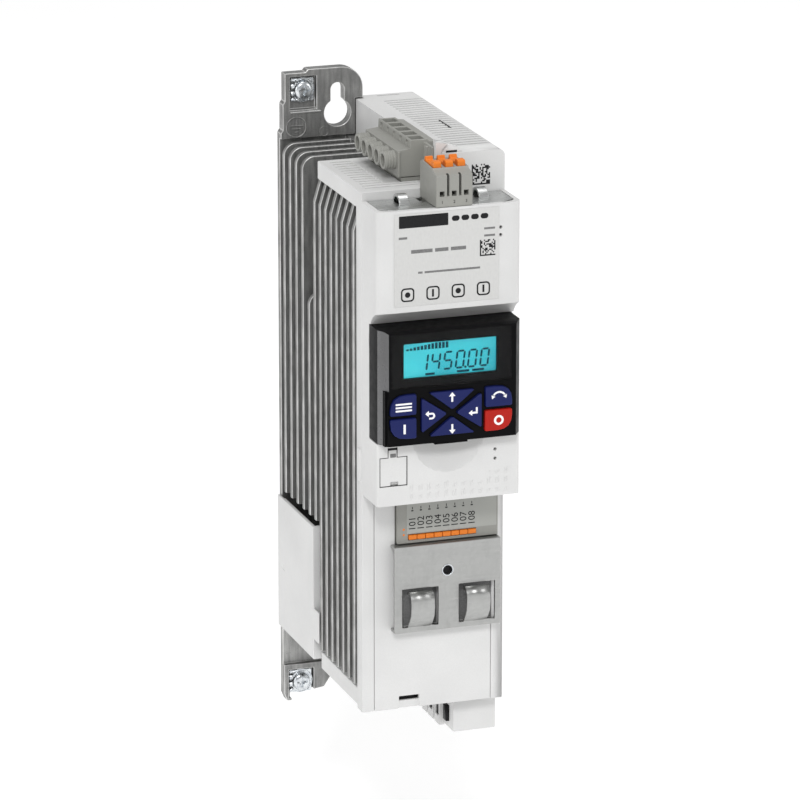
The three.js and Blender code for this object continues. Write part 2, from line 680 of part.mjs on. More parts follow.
function makeControlTerminal() {
  const body = block(-14.3, 27.2, 99.4, 106, 97.1, 137);
  const topRelief = block(-30, 30, 102.2, 110, 131, 140);
  const wellEnd = (pusherWidth + 0.3) / 2;
  const well = block(
    pusherCentres[0] - wellEnd, pusherCentres[pusherCount - 1] + wellEnd, 100.8, 110, 98.4, 100.7);
  const entries = pusherCentres.map((x) => block(x - 1.1, x + 1.1, 100.4, 102.6, 96, 98.6));
  return cut(body, topRelief, well, ...entries);
}

add('control_terminal', makeControlTerminal(), terminalGrey);
pusherCentres.forEach((x, index) => {
  const [left, right] = [x - pusherWidth / 2, x + pusherWidth / 2];
  add(`control_pusher_${index + 1}`, block(left, right, 102.2, 106.6, 98.6, 100.5), leverOrange);
});

// ---------------------------------------------------------------- motor terminal

const motorDepths = range(4).map((index) => 66.4 + index * mainsPitch);

function makeMotorPlug() {
  const body = block(12.4, 30, 58.4, 96.5, 13.2, 28.2);
  const lips = motorDepths.slice(0, 3).map((depth) => block(10.6, 13, depth - 2.9, depth + 2.9, 12.2, 24.5));
  const entries = motorDepths.map((depth) => block(8, 17, depth - 1.95, depth + 1.95, 16, 22.5));
  const contacts = motorDepths.map((depth) => block(19.6, 21.2, depth - 1.6, depth + 1.6, 22, 30));
  return cut(join(body, ...lips), ...entries, ...contacts);
}

function makeMotorHeader() {
  const body = block(13.4, 27.8, 60, 95.6, 28.55, 40);
  const blades = motorDepths.map((depth) => block(20, 20.8, depth - 1.2, depth + 1.2, 23, 29));
  return join(body, ...blades);
}

add('motor_header', makeMotorHeader(), terminalGrey);
add('motor_plug', makeMotorPlug(), whitePlastic);

// ---------------------------------------------------------------- shield plates

// A strip of even thickness around a centre line given in depth and height.
function bentStrip(line, thickness, x0, x1) {
  const offset = (side) => line.map((point, index) => {
    const before = line[Math.max(index - 1, 0)];
    const after = line[Math.min(index + 1, line.length - 1)];
    const run = new THREE.Vector2(after[0] - before[0], after[1] - before[1]).normalize();
    return [point[0] - (side * run.y * thickness) / 2, point[1] + (side * run.x * thickness) / 2];
  });
  return sidePrism([...offset(1), ...offset(-1).reverse()], x0, x1);
}

function arcLine(depth, height, radiusDepth, radiusHeight, from, to, steps) {
  return range(steps + 1).map((step) => {
    const angle = from + ((to - from) * step) / steps;
    return [depth + radiusDepth * Math.cos(angle), height + radiusHeight * Math.sin(angle)];
  });
}

const topPlateBottom = 234.3;
const topPlateThickness = 1.2;

function makeTopShieldPlate() {
  const front = coverFront - wall - 0.3;
  const plate = topPrism([
    [housingLeft + wall + 0.3, coverRear + 0.3], [housingRight - wall - 0.3, coverRear + 0.3],
    [housingRight - wall - 0.3, front - 3.6], [housingRight - wall - 5.6, front],
    [housingLeft + wall + 5.6, front], [housingLeft + wall + 0.3, front - 3.6],
  ], topPlateBottom, topPlateBottom + topPlateThickness);
  const terminalWindow = block(-6.9, 9.9, 105, 112.4, 230, 240);
  const top = topPlateBottom + topPlateThickness / 2;
  const loopWidth = 4;
  const loops = [-16.2, 15.9].map((x) => {
    const line = [[105, top], ...arcLine(110, top, 3.8, 3.4, Math.PI, 0, 10), [115, top]];
    return bentStrip(line, topPlateThickness, x, x + loopWidth);
  });
  const openings = [-16.2, 15.9].map((x) => block(x, x + loopWidth, 106.7, 113.3, 230, 240));
  return join(cut(plate, terminalWindow, ...openings), ...loops);
}

const bracketFront = 109;
const bracketThickness = 1.2;
const bracketTop = 96.8;

function makeLowerShieldBracket() {
  const rear = bracketFront - bracketThickness;
  const face = block(-16.5, 27.4, rear, bracketFront, 61.4, bracketTop);
  const topFold = block(
    -16.5, 27.4, housingFront + 0.1, bracketFront, bracketTop - bracketThickness, bracketTop);
  const bottomFold = block(-16.5, 27.4, housingFront + 0.1, bracketFront, 61.4, 62.6);
  const hole = bar('y', 2, 10, 5.4, bracketFront, 85.6, 20);
  const collar = cut(bar('y', 2.7, 2.4, 5.4, rear - 1.1, 85.6, 20), hole);
  const windows = [-13.2, 10.2].map((x) => block(x, x + 14.8, 100, 115, 63.6, 79.2));
  const clips = [-10.8, 12.2].map((x) => {
    const line = [[rear + 0.6, 62.6], [rear + 0.6, 63.8], [110.6, 66.2], [112.4, 69], [113, 72.4],
      ...arcLine(110.4, 75.2, 2.4, 2.7, 0, Math.PI * 0.86, 7)];
    return bentStrip(line, bracketThickness, x, x + 9.4);
  });
  return join(cut(face, hole, ...windows), topFold, bottomFold, collar, ...clips);
}

add('top_shield_plate', makeTopShieldPlate(), zincSteel);
add('lower_shield_bracket', makeLowerShieldBracket(), zincSteel);

// ---------------------------------------------------------------- electronics inside

const boardLeft = 9.2;
const boardRight = boardLeft + 1.6;

add('power_board', block(boardLeft, boardRight, 6, 96, 41, 228), boardGreen);
add('control_board', block(-25, 26.6, 106.4, 108, 140, 231), boardGreen);
add('power_module', block(4.2, boardLeft - 0.2, 36, 80, 118, 166), componentBlack);
[20, 40, 60].forEach((depth, index) => {
  add(`dc_capacitor_${index + 1}`, bar('z', 8, 46, boardRight + 8.2, depth, 78, 24), capacitorSleeve);
});

const chokeRing = new THREE.TorusGeometry(9, 4, 10, 24);
chokeRing.rotateY(Math.PI / 2);
chokeRing.translate(boardRight + 4.4, -52, 208);
add('mains_filter_choke', toSolid(chokeRing), copperWinding);
add('charging_relay', block(boardRight + 0.2, boardRight + 10.4, 66, 94, 176, 191), componentBlack);

export default drive;
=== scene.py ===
import json
import math
import random

import bmesh
import bpy
import numpy as np
from mathutils import Matrix, Vector


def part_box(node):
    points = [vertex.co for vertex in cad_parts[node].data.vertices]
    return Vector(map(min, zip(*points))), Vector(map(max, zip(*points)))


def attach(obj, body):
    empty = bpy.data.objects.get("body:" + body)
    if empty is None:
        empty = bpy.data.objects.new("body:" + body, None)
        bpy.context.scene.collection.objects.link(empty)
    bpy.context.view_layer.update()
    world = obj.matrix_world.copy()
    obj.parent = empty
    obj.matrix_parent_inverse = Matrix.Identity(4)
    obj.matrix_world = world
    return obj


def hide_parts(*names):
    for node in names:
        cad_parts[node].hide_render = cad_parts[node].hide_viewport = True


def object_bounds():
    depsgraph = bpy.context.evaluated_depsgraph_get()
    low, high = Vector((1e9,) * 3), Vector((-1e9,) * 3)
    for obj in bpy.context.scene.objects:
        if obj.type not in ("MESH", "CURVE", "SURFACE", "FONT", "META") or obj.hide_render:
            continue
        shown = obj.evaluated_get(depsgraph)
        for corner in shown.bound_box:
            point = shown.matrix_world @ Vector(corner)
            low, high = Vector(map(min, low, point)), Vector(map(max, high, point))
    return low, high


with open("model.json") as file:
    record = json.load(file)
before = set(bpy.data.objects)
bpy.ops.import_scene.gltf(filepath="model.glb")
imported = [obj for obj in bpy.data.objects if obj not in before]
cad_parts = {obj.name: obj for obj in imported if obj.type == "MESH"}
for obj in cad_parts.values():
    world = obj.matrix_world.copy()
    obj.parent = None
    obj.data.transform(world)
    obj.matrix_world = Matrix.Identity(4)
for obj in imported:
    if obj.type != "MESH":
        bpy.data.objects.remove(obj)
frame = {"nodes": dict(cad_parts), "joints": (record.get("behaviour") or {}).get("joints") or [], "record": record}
cad_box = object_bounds()
record = frame["record"]
BODY_OF = {node: body for body, nodes in record["behaviour"]["bodies"].items() for node in nodes}
SLOT_OF = {part["node"]: part["material_slot"] for part in record["subparts"]}


def mm(value):
    return value * 0.001


MID_HEIGHT = 132.5  # of the frame's origin above the drive's lower edge


def box_mm(node):
    """The node's lowest and highest corner, in millimetres."""
    low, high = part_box(node)
    return [1000 * value for value in low], [1000 * value for value in high]


def centre_mm(node):
    return [(low + high) / 2 for low, high in zip(*box_mm(node))]


# ---------------- materials


class Surface:
    """One Principled material, with helpers for the procedural nodes that feed it."""

    def __init__(self, name, roughness=0.5, metallic=0.0, **constants):
        self.material = bpy.data.materials.new(name)
        self.material.use_nodes = True
        self.tree = self.material.node_tree
        self.shader = self.tree.nodes["Principled BSDF"]
        self.shader.inputs["Roughness"].default_value = roughness
        self.shader.inputs["Metallic"].default_value = metallic
        for socket, value in constants.items():
            self.shader.inputs[socket.replace("_", " ")].default_value = value
        self.place = self.tree.nodes.new("ShaderNodeTexCoord").outputs["Object"]

    def node(self, kind, links=None, **values):
        """A node with its settings and unlinked sockets set, and links into it by socket name."""
        made = self.tree.nodes.new(kind)
        for name, value in values.items():
            if hasattr(made, name):
                setattr(made, name, value)
            else:
                made.inputs[name.replace("_", " ")].default_value = value
        for name, socket in (links or {}).items():
            self.tree.links.new(socket, made.inputs[name])
        return made

    def noise(self, per_mm, detail=3.0, stretch=(1, 1, 1)):
        scale = tuple(1000 * per_mm * share for share in stretch)
        mapped = self.node("ShaderNodeMapping", {"Vector": self.place}, Scale=scale).outputs["Vector"]
        made = self.node("ShaderNodeTexNoise", {"Vector": mapped}, Scale=1.0, Detail=detail)
        return made.outputs["Fac"]

    def spread(self, factor, low, high, start=0.3, end=0.7):
        """A factor between start and end, spread over low to high."""
        made = self.node("ShaderNodeMapRange", {"Value": factor},
                         From_Min=start, From_Max=end, To_Min=low, To_Max=high)
        return made.outputs["Result"]

    def blend(self, factor, first, second):
        """Colours or sockets, mixed by a factor."""
        made = self.node("ShaderNodeMix", {"Factor": factor}, data_type="RGBA")
        ends = [socket for socket in made.inputs if socket.name in "AB" and socket.type == "RGBA"]
        for socket, value in zip(ends, (first, second)):
            if isinstance(value, bpy.types.NodeSocket):
                self.tree.links.new(value, socket)
            else:
                socket.default_value = (*value, 1)
        return next(socket for socket in made.outputs if socket.type == "RGBA")

    def colour(self, socket):
        self.tree.links.new(socket, self.shader.inputs["Base Color"])

    def rough(self, socket):
        self.tree.links.new(socket, self.shader.inputs["Roughness"])

    def bump(self, *layers):
        """Each layer is a height socket and its depth in millimetres, the deepest first."""
        normal = None
        for height, depth in layers:
            links = {"Height": height}
            if normal is not None:
                links["Normal"] = normal
            made = self.node("ShaderNodeBump", links, Strength=1.0, Distance=mm(depth))
            normal = made.outputs["Normal"]
        self.tree.links.new(normal, self.shader.inputs["Normal"])
        return self


def shade(colour, factor):
    return tuple(min(1.0, channel * factor) for channel in colour)


def moulded_plastic(name, colour, roughness, grain=2.6, depth=0.012, clouding=0.06, **constants):
    """Injection moulded plastic: a fine spark-eroded grain, faint flow clouding and uneven gloss."""
    surface = Surface(name, roughness, **constants)
    clouds = surface.noise(0.045, 2)
    grains = surface.noise(grain, 2)
    tone = surface.blend(surface.spread(clouds, 0, 1),
                         shade(colour, 1 - clouding), shade(colour, 1 + clouding / 2))
    surface.colour(surface.blend(surface.spread(grains, 0, 0.35), tone, shade(colour, 0.88)))
    surface.rough(surface.spread(surface.noise(0.4, 3), roughness - 0.06, roughness + 0.08))
    return surface.bump((grains, depth)).material


def cast_aluminium(name, dark, light, polish):
    """Die-cast aluminium with drag marks along the draw, mottling and small pits."""
    surface = Surface(name, 0.5, 0.85)
    drag = surface.noise(0.8, 4, (1, 1, 0.12))
    mottle = surface.noise(0.17, 6, (1, 1, 0.7))
    pits = surface.noise(2.4, 3)
    streaks = surface.blend(surface.spread(drag, 0.35, 0.95, 0.3, 0.7), dark, light)
    mottled = surface.blend(surface.spread(mottle, 0, 0.55, 0.34, 0.72), streaks, shade(dark, 0.85))
    surface.colour(surface.blend(surface.spread(pits, 0, 0.5, 0.58, 0.75), mottled, shade(dark, 0.55)))
    surface.rough(surface.spread(mottle, polish, polish + 0.22))
    return surface.bump((mottle, 0.10), (drag, 0.05), (pits, 0.03)).material


def zinc_sheet(name, colour, roughness):
    """Galvanised steel: soft spangle, rolling marks along X and a few scuffs."""
    surface = Surface(name, roughness, 1.0)
    cells = surface.node("ShaderNodeTexVoronoi", {"Vector": surface.place}, Scale=700.0)
    spangle = surface.node("ShaderNodeSeparateColor", {"Color": cells.outputs["Color"]}).outputs["Red"]
    rolling = surface.noise(1.1, 3, (0.06, 1, 1))
    scuffs = surface.noise(0.5, 4, (1, 1, 0.25))
    tone = surface.blend(spangle, shade(colour, 0.965), shade(colour, 1.025))
    surface.colour(surface.blend(surface.spread(scuffs, 0, 0.3, 0.55, 0.75), tone, shade(colour, 0.78)))
    surface.rough(surface.spread(rolling, roughness - 0.07, roughness + 0.12))
    return surface.bump((rolling, 0.014), (scuffs, 0.01)).material


def plated_screw(name):
    surface = Surface(name, 0.24, 1.0)
    smudge = surface.noise(0.9, 3)
    surface.colour(surface.blend(surface.spread(smudge, 0, 1), (0.55, 0.58, 0.62), (0.80, 0.83, 0.84)))
    surface.rough(surface.spread(surface.noise(2.2, 2), 0.16, 0.36))
    return surface.bump((smudge, 0.02)).material


def printed_ink(name, colour):
    """Screen printed ink, slightly uneven in density. The black and grey inks also colour the patches of painted
    shade.
    """
    surface = Surface(name, 0.42, Specular_IOR_Level=0.15)
    density = surface.noise(1.8, 2)
    surface.colour(surface.blend(surface.spread(density, 0, 1), colour, shade(colour, 1.35)))
    return surface.bump((density, 0.004)).material


def label_film(name, colour):
    surface = Surface(name, 0.55)
    fibre = surface.noise(1.4, 2, (1, 1, 0.5))
    surface.colour(surface.blend(surface.spread(fibre, 0, 1), shade(colour, 0.97), shade(colour, 1.02)))
    surface.rough(surface.spread(surface.noise(0.3, 2), 0.48, 0.62))
    return surface.bump((fibre, 0.004)).material


def liquid_crystal(name):
    """Backlit panel: teal light, brighter to one side, with a fine pixel grid."""
    surface = Surface(name, 0.35)
    glow = surface.noise(0.035, 1)
    grid = surface.node("ShaderNodeTexChecker", {"Vector": surface.place}, Scale=2200.0).outputs["Fac"]
    light = surface.blend(surface.spread(glow, 0, 1, 0.35, 0.65),
                          (0.018, 0.39, 0.48), (0.045, 0.59, 0.66))
    final = surface.blend(surface.spread(grid, 0, 0.12, 0, 1), light, (0.01, 0.33, 0.38))
    surface.colour(final)
    surface.tree.links.new(final, surface.shader.inputs["Emission Color"])
    surface.shader.inputs["Emission Strength"].default_value = 0.42
    return surface.material


def smoked_window(name):
    surface = Surface(name, 0.03, IOR=1.15, Transmission_Weight=1.0)
    haze = surface.noise(0.08, 2)
    surface.colour(surface.blend(surface.spread(haze, 0, 1), (0.93, 0.94, 0.94), (0.98, 0.98, 0.98)))
    surface.rough(surface.spread(surface.noise(0.6, 3), 0.01, 0.05))
    return surface.material


def circuit_board(name):
    """Green lacquer over copper tracks and a scatter of solder pads."""
    surface = Surface(name, 0.35, Coat_Weight=0.4)
    bricks = surface.node("ShaderNodeTexBrick", {"Vector": surface.place},
                          Scale=420.0, Mortar_Size=0.09)
    cells = surface.node("ShaderNodeTexVoronoi", {"Vector": surface.place}, Scale=390.0)
    tracks, pads = bricks.outputs["Fac"], cells.outputs["Distance"]
    green = surface.blend(surface.noise(0.05, 2), (0.010, 0.085, 0.035), (0.018, 0.13, 0.055))
    tracked = surface.blend(surface.spread(tracks, 0, 0.7, 0, 1), green, (0.03, 0.20, 0.08))
    surface.colour(surface.blend(surface.spread(pads, 1, 0, 0.16, 0.2), tracked, (0.62, 0.60, 0.56)))
    return surface.bump((tracks, 0.03)).material


def wound_copper(name):
    surface = Surface(name, 0.3, 0.9)
    turns = surface.node("ShaderNodeTexWave", {"Vector": surface.place}, wave_type="RINGS",
                         rings_direction="X", Scale=900.0, Distortion=2.0)
    # Darker in the grooves between turns: painted shade that follows the bump.
    surface.colour(surface.blend(turns.outputs["Fac"], (0.20, 0.06, 0.015), (0.66, 0.27, 0.09)))
    return surface.bump((turns.outputs["Fac"], 0.25)).material


WHITE = (0.70, 0.70, 0.695)
MATERIALS = {
    "casting": cast_aluminium("cast_aluminium", (0.16, 0.16, 0.16), (0.44, 0.44, 0.43), 0.38),
    # A lighter copy of the casting for rounded edges and the ledge: painted highlight where edges catch the light.
    "casting_highlight": cast_aluminium("cast_aluminium_painted_highlight",
                                   (0.46, 0.46, 0.45), (0.74, 0.74, 0.73), 0.30),
    "zinc": zinc_sheet("galvanised_sheet", (0.42, 0.423, 0.415), 0.34),
    # A lighter copy of the galvanised sheet, painted light for the top plate's upward face.
    "zinc_painted_light": zinc_sheet("galvanised_sheet_painted_light", (0.60, 0.61, 0.605), 0.30),
    "screw": plated_screw("zinc_plated_screw"),
    "white": moulded_plastic("white_housing_plastic", WHITE, 0.48),
    "label": label_film("label_film", (0.60, 0.60, 0.59)),
    "terminal": moulded_plastic("terminal_plastic", (0.31, 0.31, 0.285), 0.42, clouding=0.12),
    "terminal_light": moulded_plastic("terminal_strip_plastic", (0.38, 0.385, 0.36), 0.42,
                                      clouding=0.08),
    "orange": moulded_plastic("lever_plastic", (0.80, 0.21, 0.02), 0.4, Specular_IOR_Level=0.3),
    "black": moulded_plastic("keypad_plastic", (0.0035, 0.0035, 0.004), 0.36, grain=3.2,
                             clouding=0.2, Specular_IOR_Level=0.06),
    # A lighter grey copy of the keypad black, painted light for its left chamfer.
    "black_painted_light": moulded_plastic("keypad_chamfer_painted_light", (0.12, 0.12, 0.123), 0.3, grain=3.2,
                                   clouding=0.2),
    "blue": moulded_plastic("key_blue_plastic", (0.008, 0.014, 0.10), 0.4, depth=0.006,
                            Specular_IOR_Level=0.2),
    "red": moulded_plastic("key_red_plastic", (0.43, 0.012, 0.006), 0.4, depth=0.006,
                           Specular_IOR_Level=0.2),
    "window": smoked_window("display_window_plastic"),
    "crystal": liquid_crystal("liquid_crystal"),
    "board": circuit_board("circuit_board"),
    "component": moulded_plastic("component_plastic", (0.016, 0.016, 0.018), 0.45, clouding=0.15),
    "sleeve": moulded_plastic("capacitor_sleeve", (0.02, 0.028, 0.06), 0.28),
    "copper": wound_copper("wound_copper"),
    # Black and grey ink serve both for print and for painted shade in slots, gaps and hollows.
    "ink": printed_ink("black_print_and_painted_shade", (0.012, 0.012, 0.013)),
    "grey_ink_and_shade": printed_ink("grey_print_and_painted_shade", (0.16, 0.16, 0.16)),
    "white_ink": printed_ink("printed_ink_white", (0.86, 0.86, 0.86)),
    "segment": printed_ink("display_segment", (0.004, 0.055, 0.085)),
}

# ---------------- mesh helpers

INK = 0.02  # thickness of a print
INK_LIFT = 0.005  # of a print's rear face off the surface under it
SAME_PLANE = 1.0  # degrees between faces that count as one flat face
ROOM_SHARE = 0.46  # of the gap between two edges that each one's rounding may fill
FACING = -0.2  # cosine below which two edges of a flat face look at each other
ONWARD = -0.64  # cosine below which two edges at a corner run on into each other
FOLDED = 0.3  # cosine below which a triangle lies against its own face
TORN_LIMIT = 0.05  # square millimetres of folded triangles that don't show


def add_object(name, data):
    made = bpy.data.objects.new(name, data)
    bpy.context.scene.collection.objects.link(made)
    return made


def new_piece(name, data, body, slot, *materials):
    """A piece whose data is already in place, with its finish, riding on that body."""
    piece = add_object(name, data)
    data.materials.clear()
    for material in materials:
        data.materials.append(MATERIALS[material])
    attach(piece, body)
    return piece


def crease(piece, angle):
    """Faces that meet at more than that many degrees are shaded apart."""
    piece.data.set_sharp_from_angle(angle=math.radians(angle))


def mesh_from(bm, name):
    mesh = bpy.data.meshes.new(name)
    bmesh.ops.recalc_face_normals(bm, faces=bm.faces)
    bm.to_mesh(mesh)
    bm.free()
    mesh.shade_smooth()
    return mesh


def flat_regions(bm):
    """Groups of faces that lie in one plane and touch along edges without a crease."""
    waiting = set(bm.faces)
    while waiting:
        region = [waiting.pop()]
        for face in region:
            for edge in face.edges:
                if len(edge.link_faces) == 2 and edge.calc_face_angle() < math.radians(SAME_PLANE):
                    for other in edge.link_faces:
                        if other in waiting:
                            waiting.remove(other)
                            region.append(other)
        yield region


def gaps_between(starts, ends):
    """Shortest distance between every two segments that don't cross."""
    along = ends - starts
    gaps = np.full((len(starts), len(starts)), np.inf)
    for points in (starts, ends):
        offset = points[:, None] - starts[None]
        share = np.clip((offset * along[None]).sum(2) / (along ** 2).sum(1)[None], 0, 1)
        distance = np.linalg.norm(offset - share[..., None] * along[None], axis=2)
        gaps = np.minimum(gaps, np.minimum(distance, distance.T))
    return gaps


def rounding_room(bm, sharp):
    """How far the rounding of each sharp edge may reach before it meets another one in its plane."""
    room = {edge: math.inf for edge in sharp}
    for region in flat_regions(bm):
        loops = [loop for face in region for loop in face.loops if loop.edge in room]
        if len(loops) < 2:
            continue
        starts = np.array([loop.vert.co for loop in loops])
        ends = np.array([loop.link_loop_next.vert.co for loop in loops])
        along = (ends - starts) / np.linalg.norm(ends - starts, axis=1)[:, None]
        inward = np.cross(np.array(region[0].normal), along)
        between = (starts + ends)[None] / 2 - (starts + ends)[:, None] / 2
        ahead = (between * inward[:, None]).sum(2) > 0
        facing = ahead & ahead.T & (along @ along.T < FACING)
        nearest = np.where(facing, gaps_between(starts, ends), np.inf).min(1)
        for loop, distance in zip(loops, nearest):
            room[loop.edge] = min(room[loop.edge], ROOM_SHARE * distance)
    return room


def even_out(room):
    """Edges that run on into each other share the smallest room among them."""
    chain = {edge: [edge] for edge in room}
    for edge in room:
        for vertex in edge.verts:
            away = (edge.other_vert(vertex).co - vertex.co).normalized()
            for other in vertex.link_edges:
                if other in room and chain[other] is not chain[edge]:
                    onward = (other.other_vert(vertex).co - vertex.co).normalized()
                    if away.dot(onward) < ONWARD:
                        merged = chain[edge] + chain[other]
                        for member in merged:
                            chain[member] = merged
    return {edge: min(room[member] for member in chain[edge]) for edge in room}


def torn_area(piece):
    """Square millimetres of triangles that lie against their own face."""
    bpy.context.view_layer.update()
    evaluated = piece.evaluated_get(bpy.context.evaluated_depsgraph_get())
    mesh = evaluated.to_mesh()
    mesh.calc_loop_triangles()
    count = len(mesh.loop_triangles)
    normals, areas = np.zeros(3 * count), np.zeros(count)
    owners = np.zeros(count, dtype=np.int32)
    mesh.loop_triangles.foreach_get("normal", normals)
    mesh.loop_triangles.foreach_get("area", areas)
    mesh.loop_triangles.foreach_get("polygon_index", owners)
    faces = np.zeros(3 * len(mesh.polygons))
    mesh.polygons.foreach_get("normal", faces)
    facing = (normals.reshape(-1, 3) * faces.reshape(-1, 3)[owners]).sum(1)
    evaluated.to_mesh_clear()
    return 1e6 * areas[facing < FOLDED].sum()


def soften(piece, width, segments=2, angle=32, edge_slot=None):
    """Rounds every sharp edge, as moulding and casting do, and keeps flat faces flat.

    The rounding gets narrower, and is clamped at last, until no face folds over.
    """
    bm = bmesh.new()
    bm.from_mesh(piece.data)
    weight = bm.edges.layers.float.new("bevel_weight_edge")
    sharp = [edge for edge in bm.edges
             if len(edge.link_faces) == 2 and edge.calc_face_angle() > math.radians(angle)]
    for edge, room in even_out(rounding_room(bm, sharp)).items():
        edge[weight] = min(1.0, room / mm(width))
    bm.to_mesh(piece.data)
    bm.free()
    bevel = piece.modifiers.new("rounded_edges", "BEVEL")
    bevel.segments = segments
    bevel.limit_method = "WEIGHT"
    bevel.loop_slide = False
    if edge_slot is not None:
        bevel.material = edge_slot
    for share, clamped in ((1, False), (0.8, False), (0.6, False), (1, True)):
        bevel.width = mm(width * share)
        bevel.use_clamp_overlap = clamped
        if torn_area(piece) < TORN_LIMIT:
            break
    normals = piece.modifiers.new("flat_faces", "WEIGHTED_NORMAL")
    normals.keep_sharp = True
    normals.weight = 100
    return piece


def formed(node, name, material, width, segments=2, edge=None):
    """The node's shape with its faces merged and its edges rounded, which replaces the node."""
    bm = bmesh.new()
    bm.from_mesh(frame["nodes"][node].data)
    bmesh.ops.remove_doubles(bm, verts=bm.verts, dist=mm(0.002))
    bmesh.ops.dissolve_limit(bm, angle_limit=math.radians(0.6), verts=bm.verts, edges=bm.edges)
    mesh = mesh_from(bm, name)
    materials = [material] if edge is None else [material, edge]
    piece = new_piece(name, mesh, BODY_OF[node], SLOT_OF[node], *materials)
    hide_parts(node)
    return soften(piece, width, segments, edge_slot=None if edge is None else 1)


def add_block(bm, low, high):
    centre = [(a + b) / 2 for a, b in zip(low, high)]
    size = [b - a for a, b in zip(low, high)]
    matrix = Matrix.Translation(Vector(map(mm, centre))) @ Matrix.Diagonal([*map(mm, size), 1])
    bmesh.ops.create_cube(bm, size=1, matrix=matrix)


def add_prism(bm, outline, depth, thickness):
    """An outline in x and z, standing out of the plane at that depth towards the viewer."""
    rear = [bm.verts.new((mm(x), mm(-depth), mm(z))) for x, z in outline]
    front = [bm.verts.new((mm(x), mm(-depth - thickness), mm(z))) for x, z in outline]
    bm.faces.new(rear)
    bm.faces.new(front[::-1])
    for index in range(len(outline)):
        after = (index + 1) % len(outline)
        bm.faces.new((rear[index], front[index], front[after], rear[after]))


def relief(name, outlines, depth, thickness, body, slot, material, rounding=0.0):
    """Printed or moulded marks, or flat patches of painted shade: every outline stands out of one plane, as one
    piece.
    """
    bm = bmesh.new()
    for outline in outlines:
        add_prism(bm, outline, depth, thickness)
    piece = new_piece(name, mesh_from(bm, name), body, slot, material)
    if rounding:
        soften(piece, rounding)
    else:
        crease(piece, 30)


def solids(name, boxes, body, slot, material):
    """Plain blocks as one piece: each is x, depth and height above the lower edge, in pairs."""
    bm = bmesh.new()
    for x0, x1, depth0, depth1, height0, height1 in boxes:
        add_block(bm, (x0, -depth1, height0 - MID_HEIGHT), (x1, -depth0, height1 - MID_HEIGHT))
    new_piece(name, mesh_from(bm, name), body, slot, material)


def lathe(name, profile, centre, axis, body, slot, material, sides=48, rounding=0.0):
    """A turned shape: profile points are (radius, distance along the axis)."""
    bm = bmesh.new()
    turn = Vector((0, 0, 1)).rotation_difference(Vector(axis)).to_matrix().to_4x4()
    place = Matrix.Translation(Vector(map(mm, centre))) @ turn
    rings = []
    for radius, along in profile:
        count = 1 if radius == 0 else sides
        angles = [2 * math.pi * step / sides for step in range(count)]
        points = [Vector((mm(radius) * math.cos(turned), mm(radius) * math.sin(turned), mm(along)))
                  for turned in angles]
        rings.append([bm.verts.new(place @ point) for point in points])
    for first, second in zip(rings, rings[1:]):
        for step in range(sides):
            after = (step + 1) % sides
            corners = [first[step % len(first)], first[after % len(first)],
                       second[after % len(second)], second[step % len(second)]]
            unique = list(dict.fromkeys(corners))
            if len(unique) > 2:
                bm.faces.new(unique)
    piece = new_piece(name, mesh_from(bm, name), body, slot, material)
    if rounding:
        soften(piece, rounding, angle=38)
    else:
        crease(piece, 40)
    return piece


def ridge(name, lines, depth, radius, body, slot, material):
    """Raised cast lines: round cords half sunk into the plane at that depth. Points are (x, z)."""
    curve = bpy.data.curves.new(name, "CURVE")
    curve.dimensions = "3D"
    curve.bevel_depth = mm(radius)
    curve.bevel_resolution = 3
    curve.use_fill_caps = True
    for line in lines:
        spline = curve.splines.new("POLY")
        spline.points.add(len(line) - 1)
        for point, (x, z) in zip(spline.points, line):
            point.co = (mm(x), mm(-depth), mm(z), 1)
    new_piece(name, curve, body, slot, material)


def rectangle(x0, x1, z0, z1):
    return [(x0, z0), (x1, z0), (x1, z1), (x0, z1)]


def rounded(x0, x1, z0, z1, radius, steps=5):
    """A rectangle with rounded corners."""
    corners = [(x1 - radius, z0 + radius, -90), (x1 - radius, z1 - radius, 0),
               (x0 + radius, z1 - radius, 90), (x0 + radius, z0 + radius, 180)]
    return [point for x, z, start in corners for point in arc(x, z, radius, start, start + 90, steps)]


def arc(x, z, radius, start, end, steps):
    angles = [math.radians(start + (end - start) * step / steps) for step in range(steps + 1)]
    return [(x + radius * math.cos(a), z + radius * math.sin(a)) for a in angles]


def band(x, z, radius, width, start, end, steps=20):
    """A curved stroke of even width."""
    outer = arc(x, z, radius + width / 2, start, end, steps)
    return outer + arc(x, z, radius - width / 2, end, start, steps)


def evaluated_mesh(thing):
    """A new mesh of what the object's modifiers or text make of it."""
    bpy.context.view_layer.update()
    return bpy.data.meshes.new_from_object(thing.evaluated_get(bpy.context.evaluated_depsgraph_get()))


def carved(piece, blocks):
    """Cuts blocks out of a piece, whose mesh becomes the result with its edges rounded so far."""
    bm = bmesh.new()
    for low, high in blocks:
        add_block(bm, low, high)
    tool = add_object("tool", mesh_from(bm, "tool"))
    boolean = piece.modifiers.new("cut", "BOOLEAN")
    boolean.operation = "DIFFERENCE"
    boolean.object = tool
    result = evaluated_mesh(piece)
    piece.modifiers.clear()
    piece.data = result
    bpy.data.objects.remove(tool)


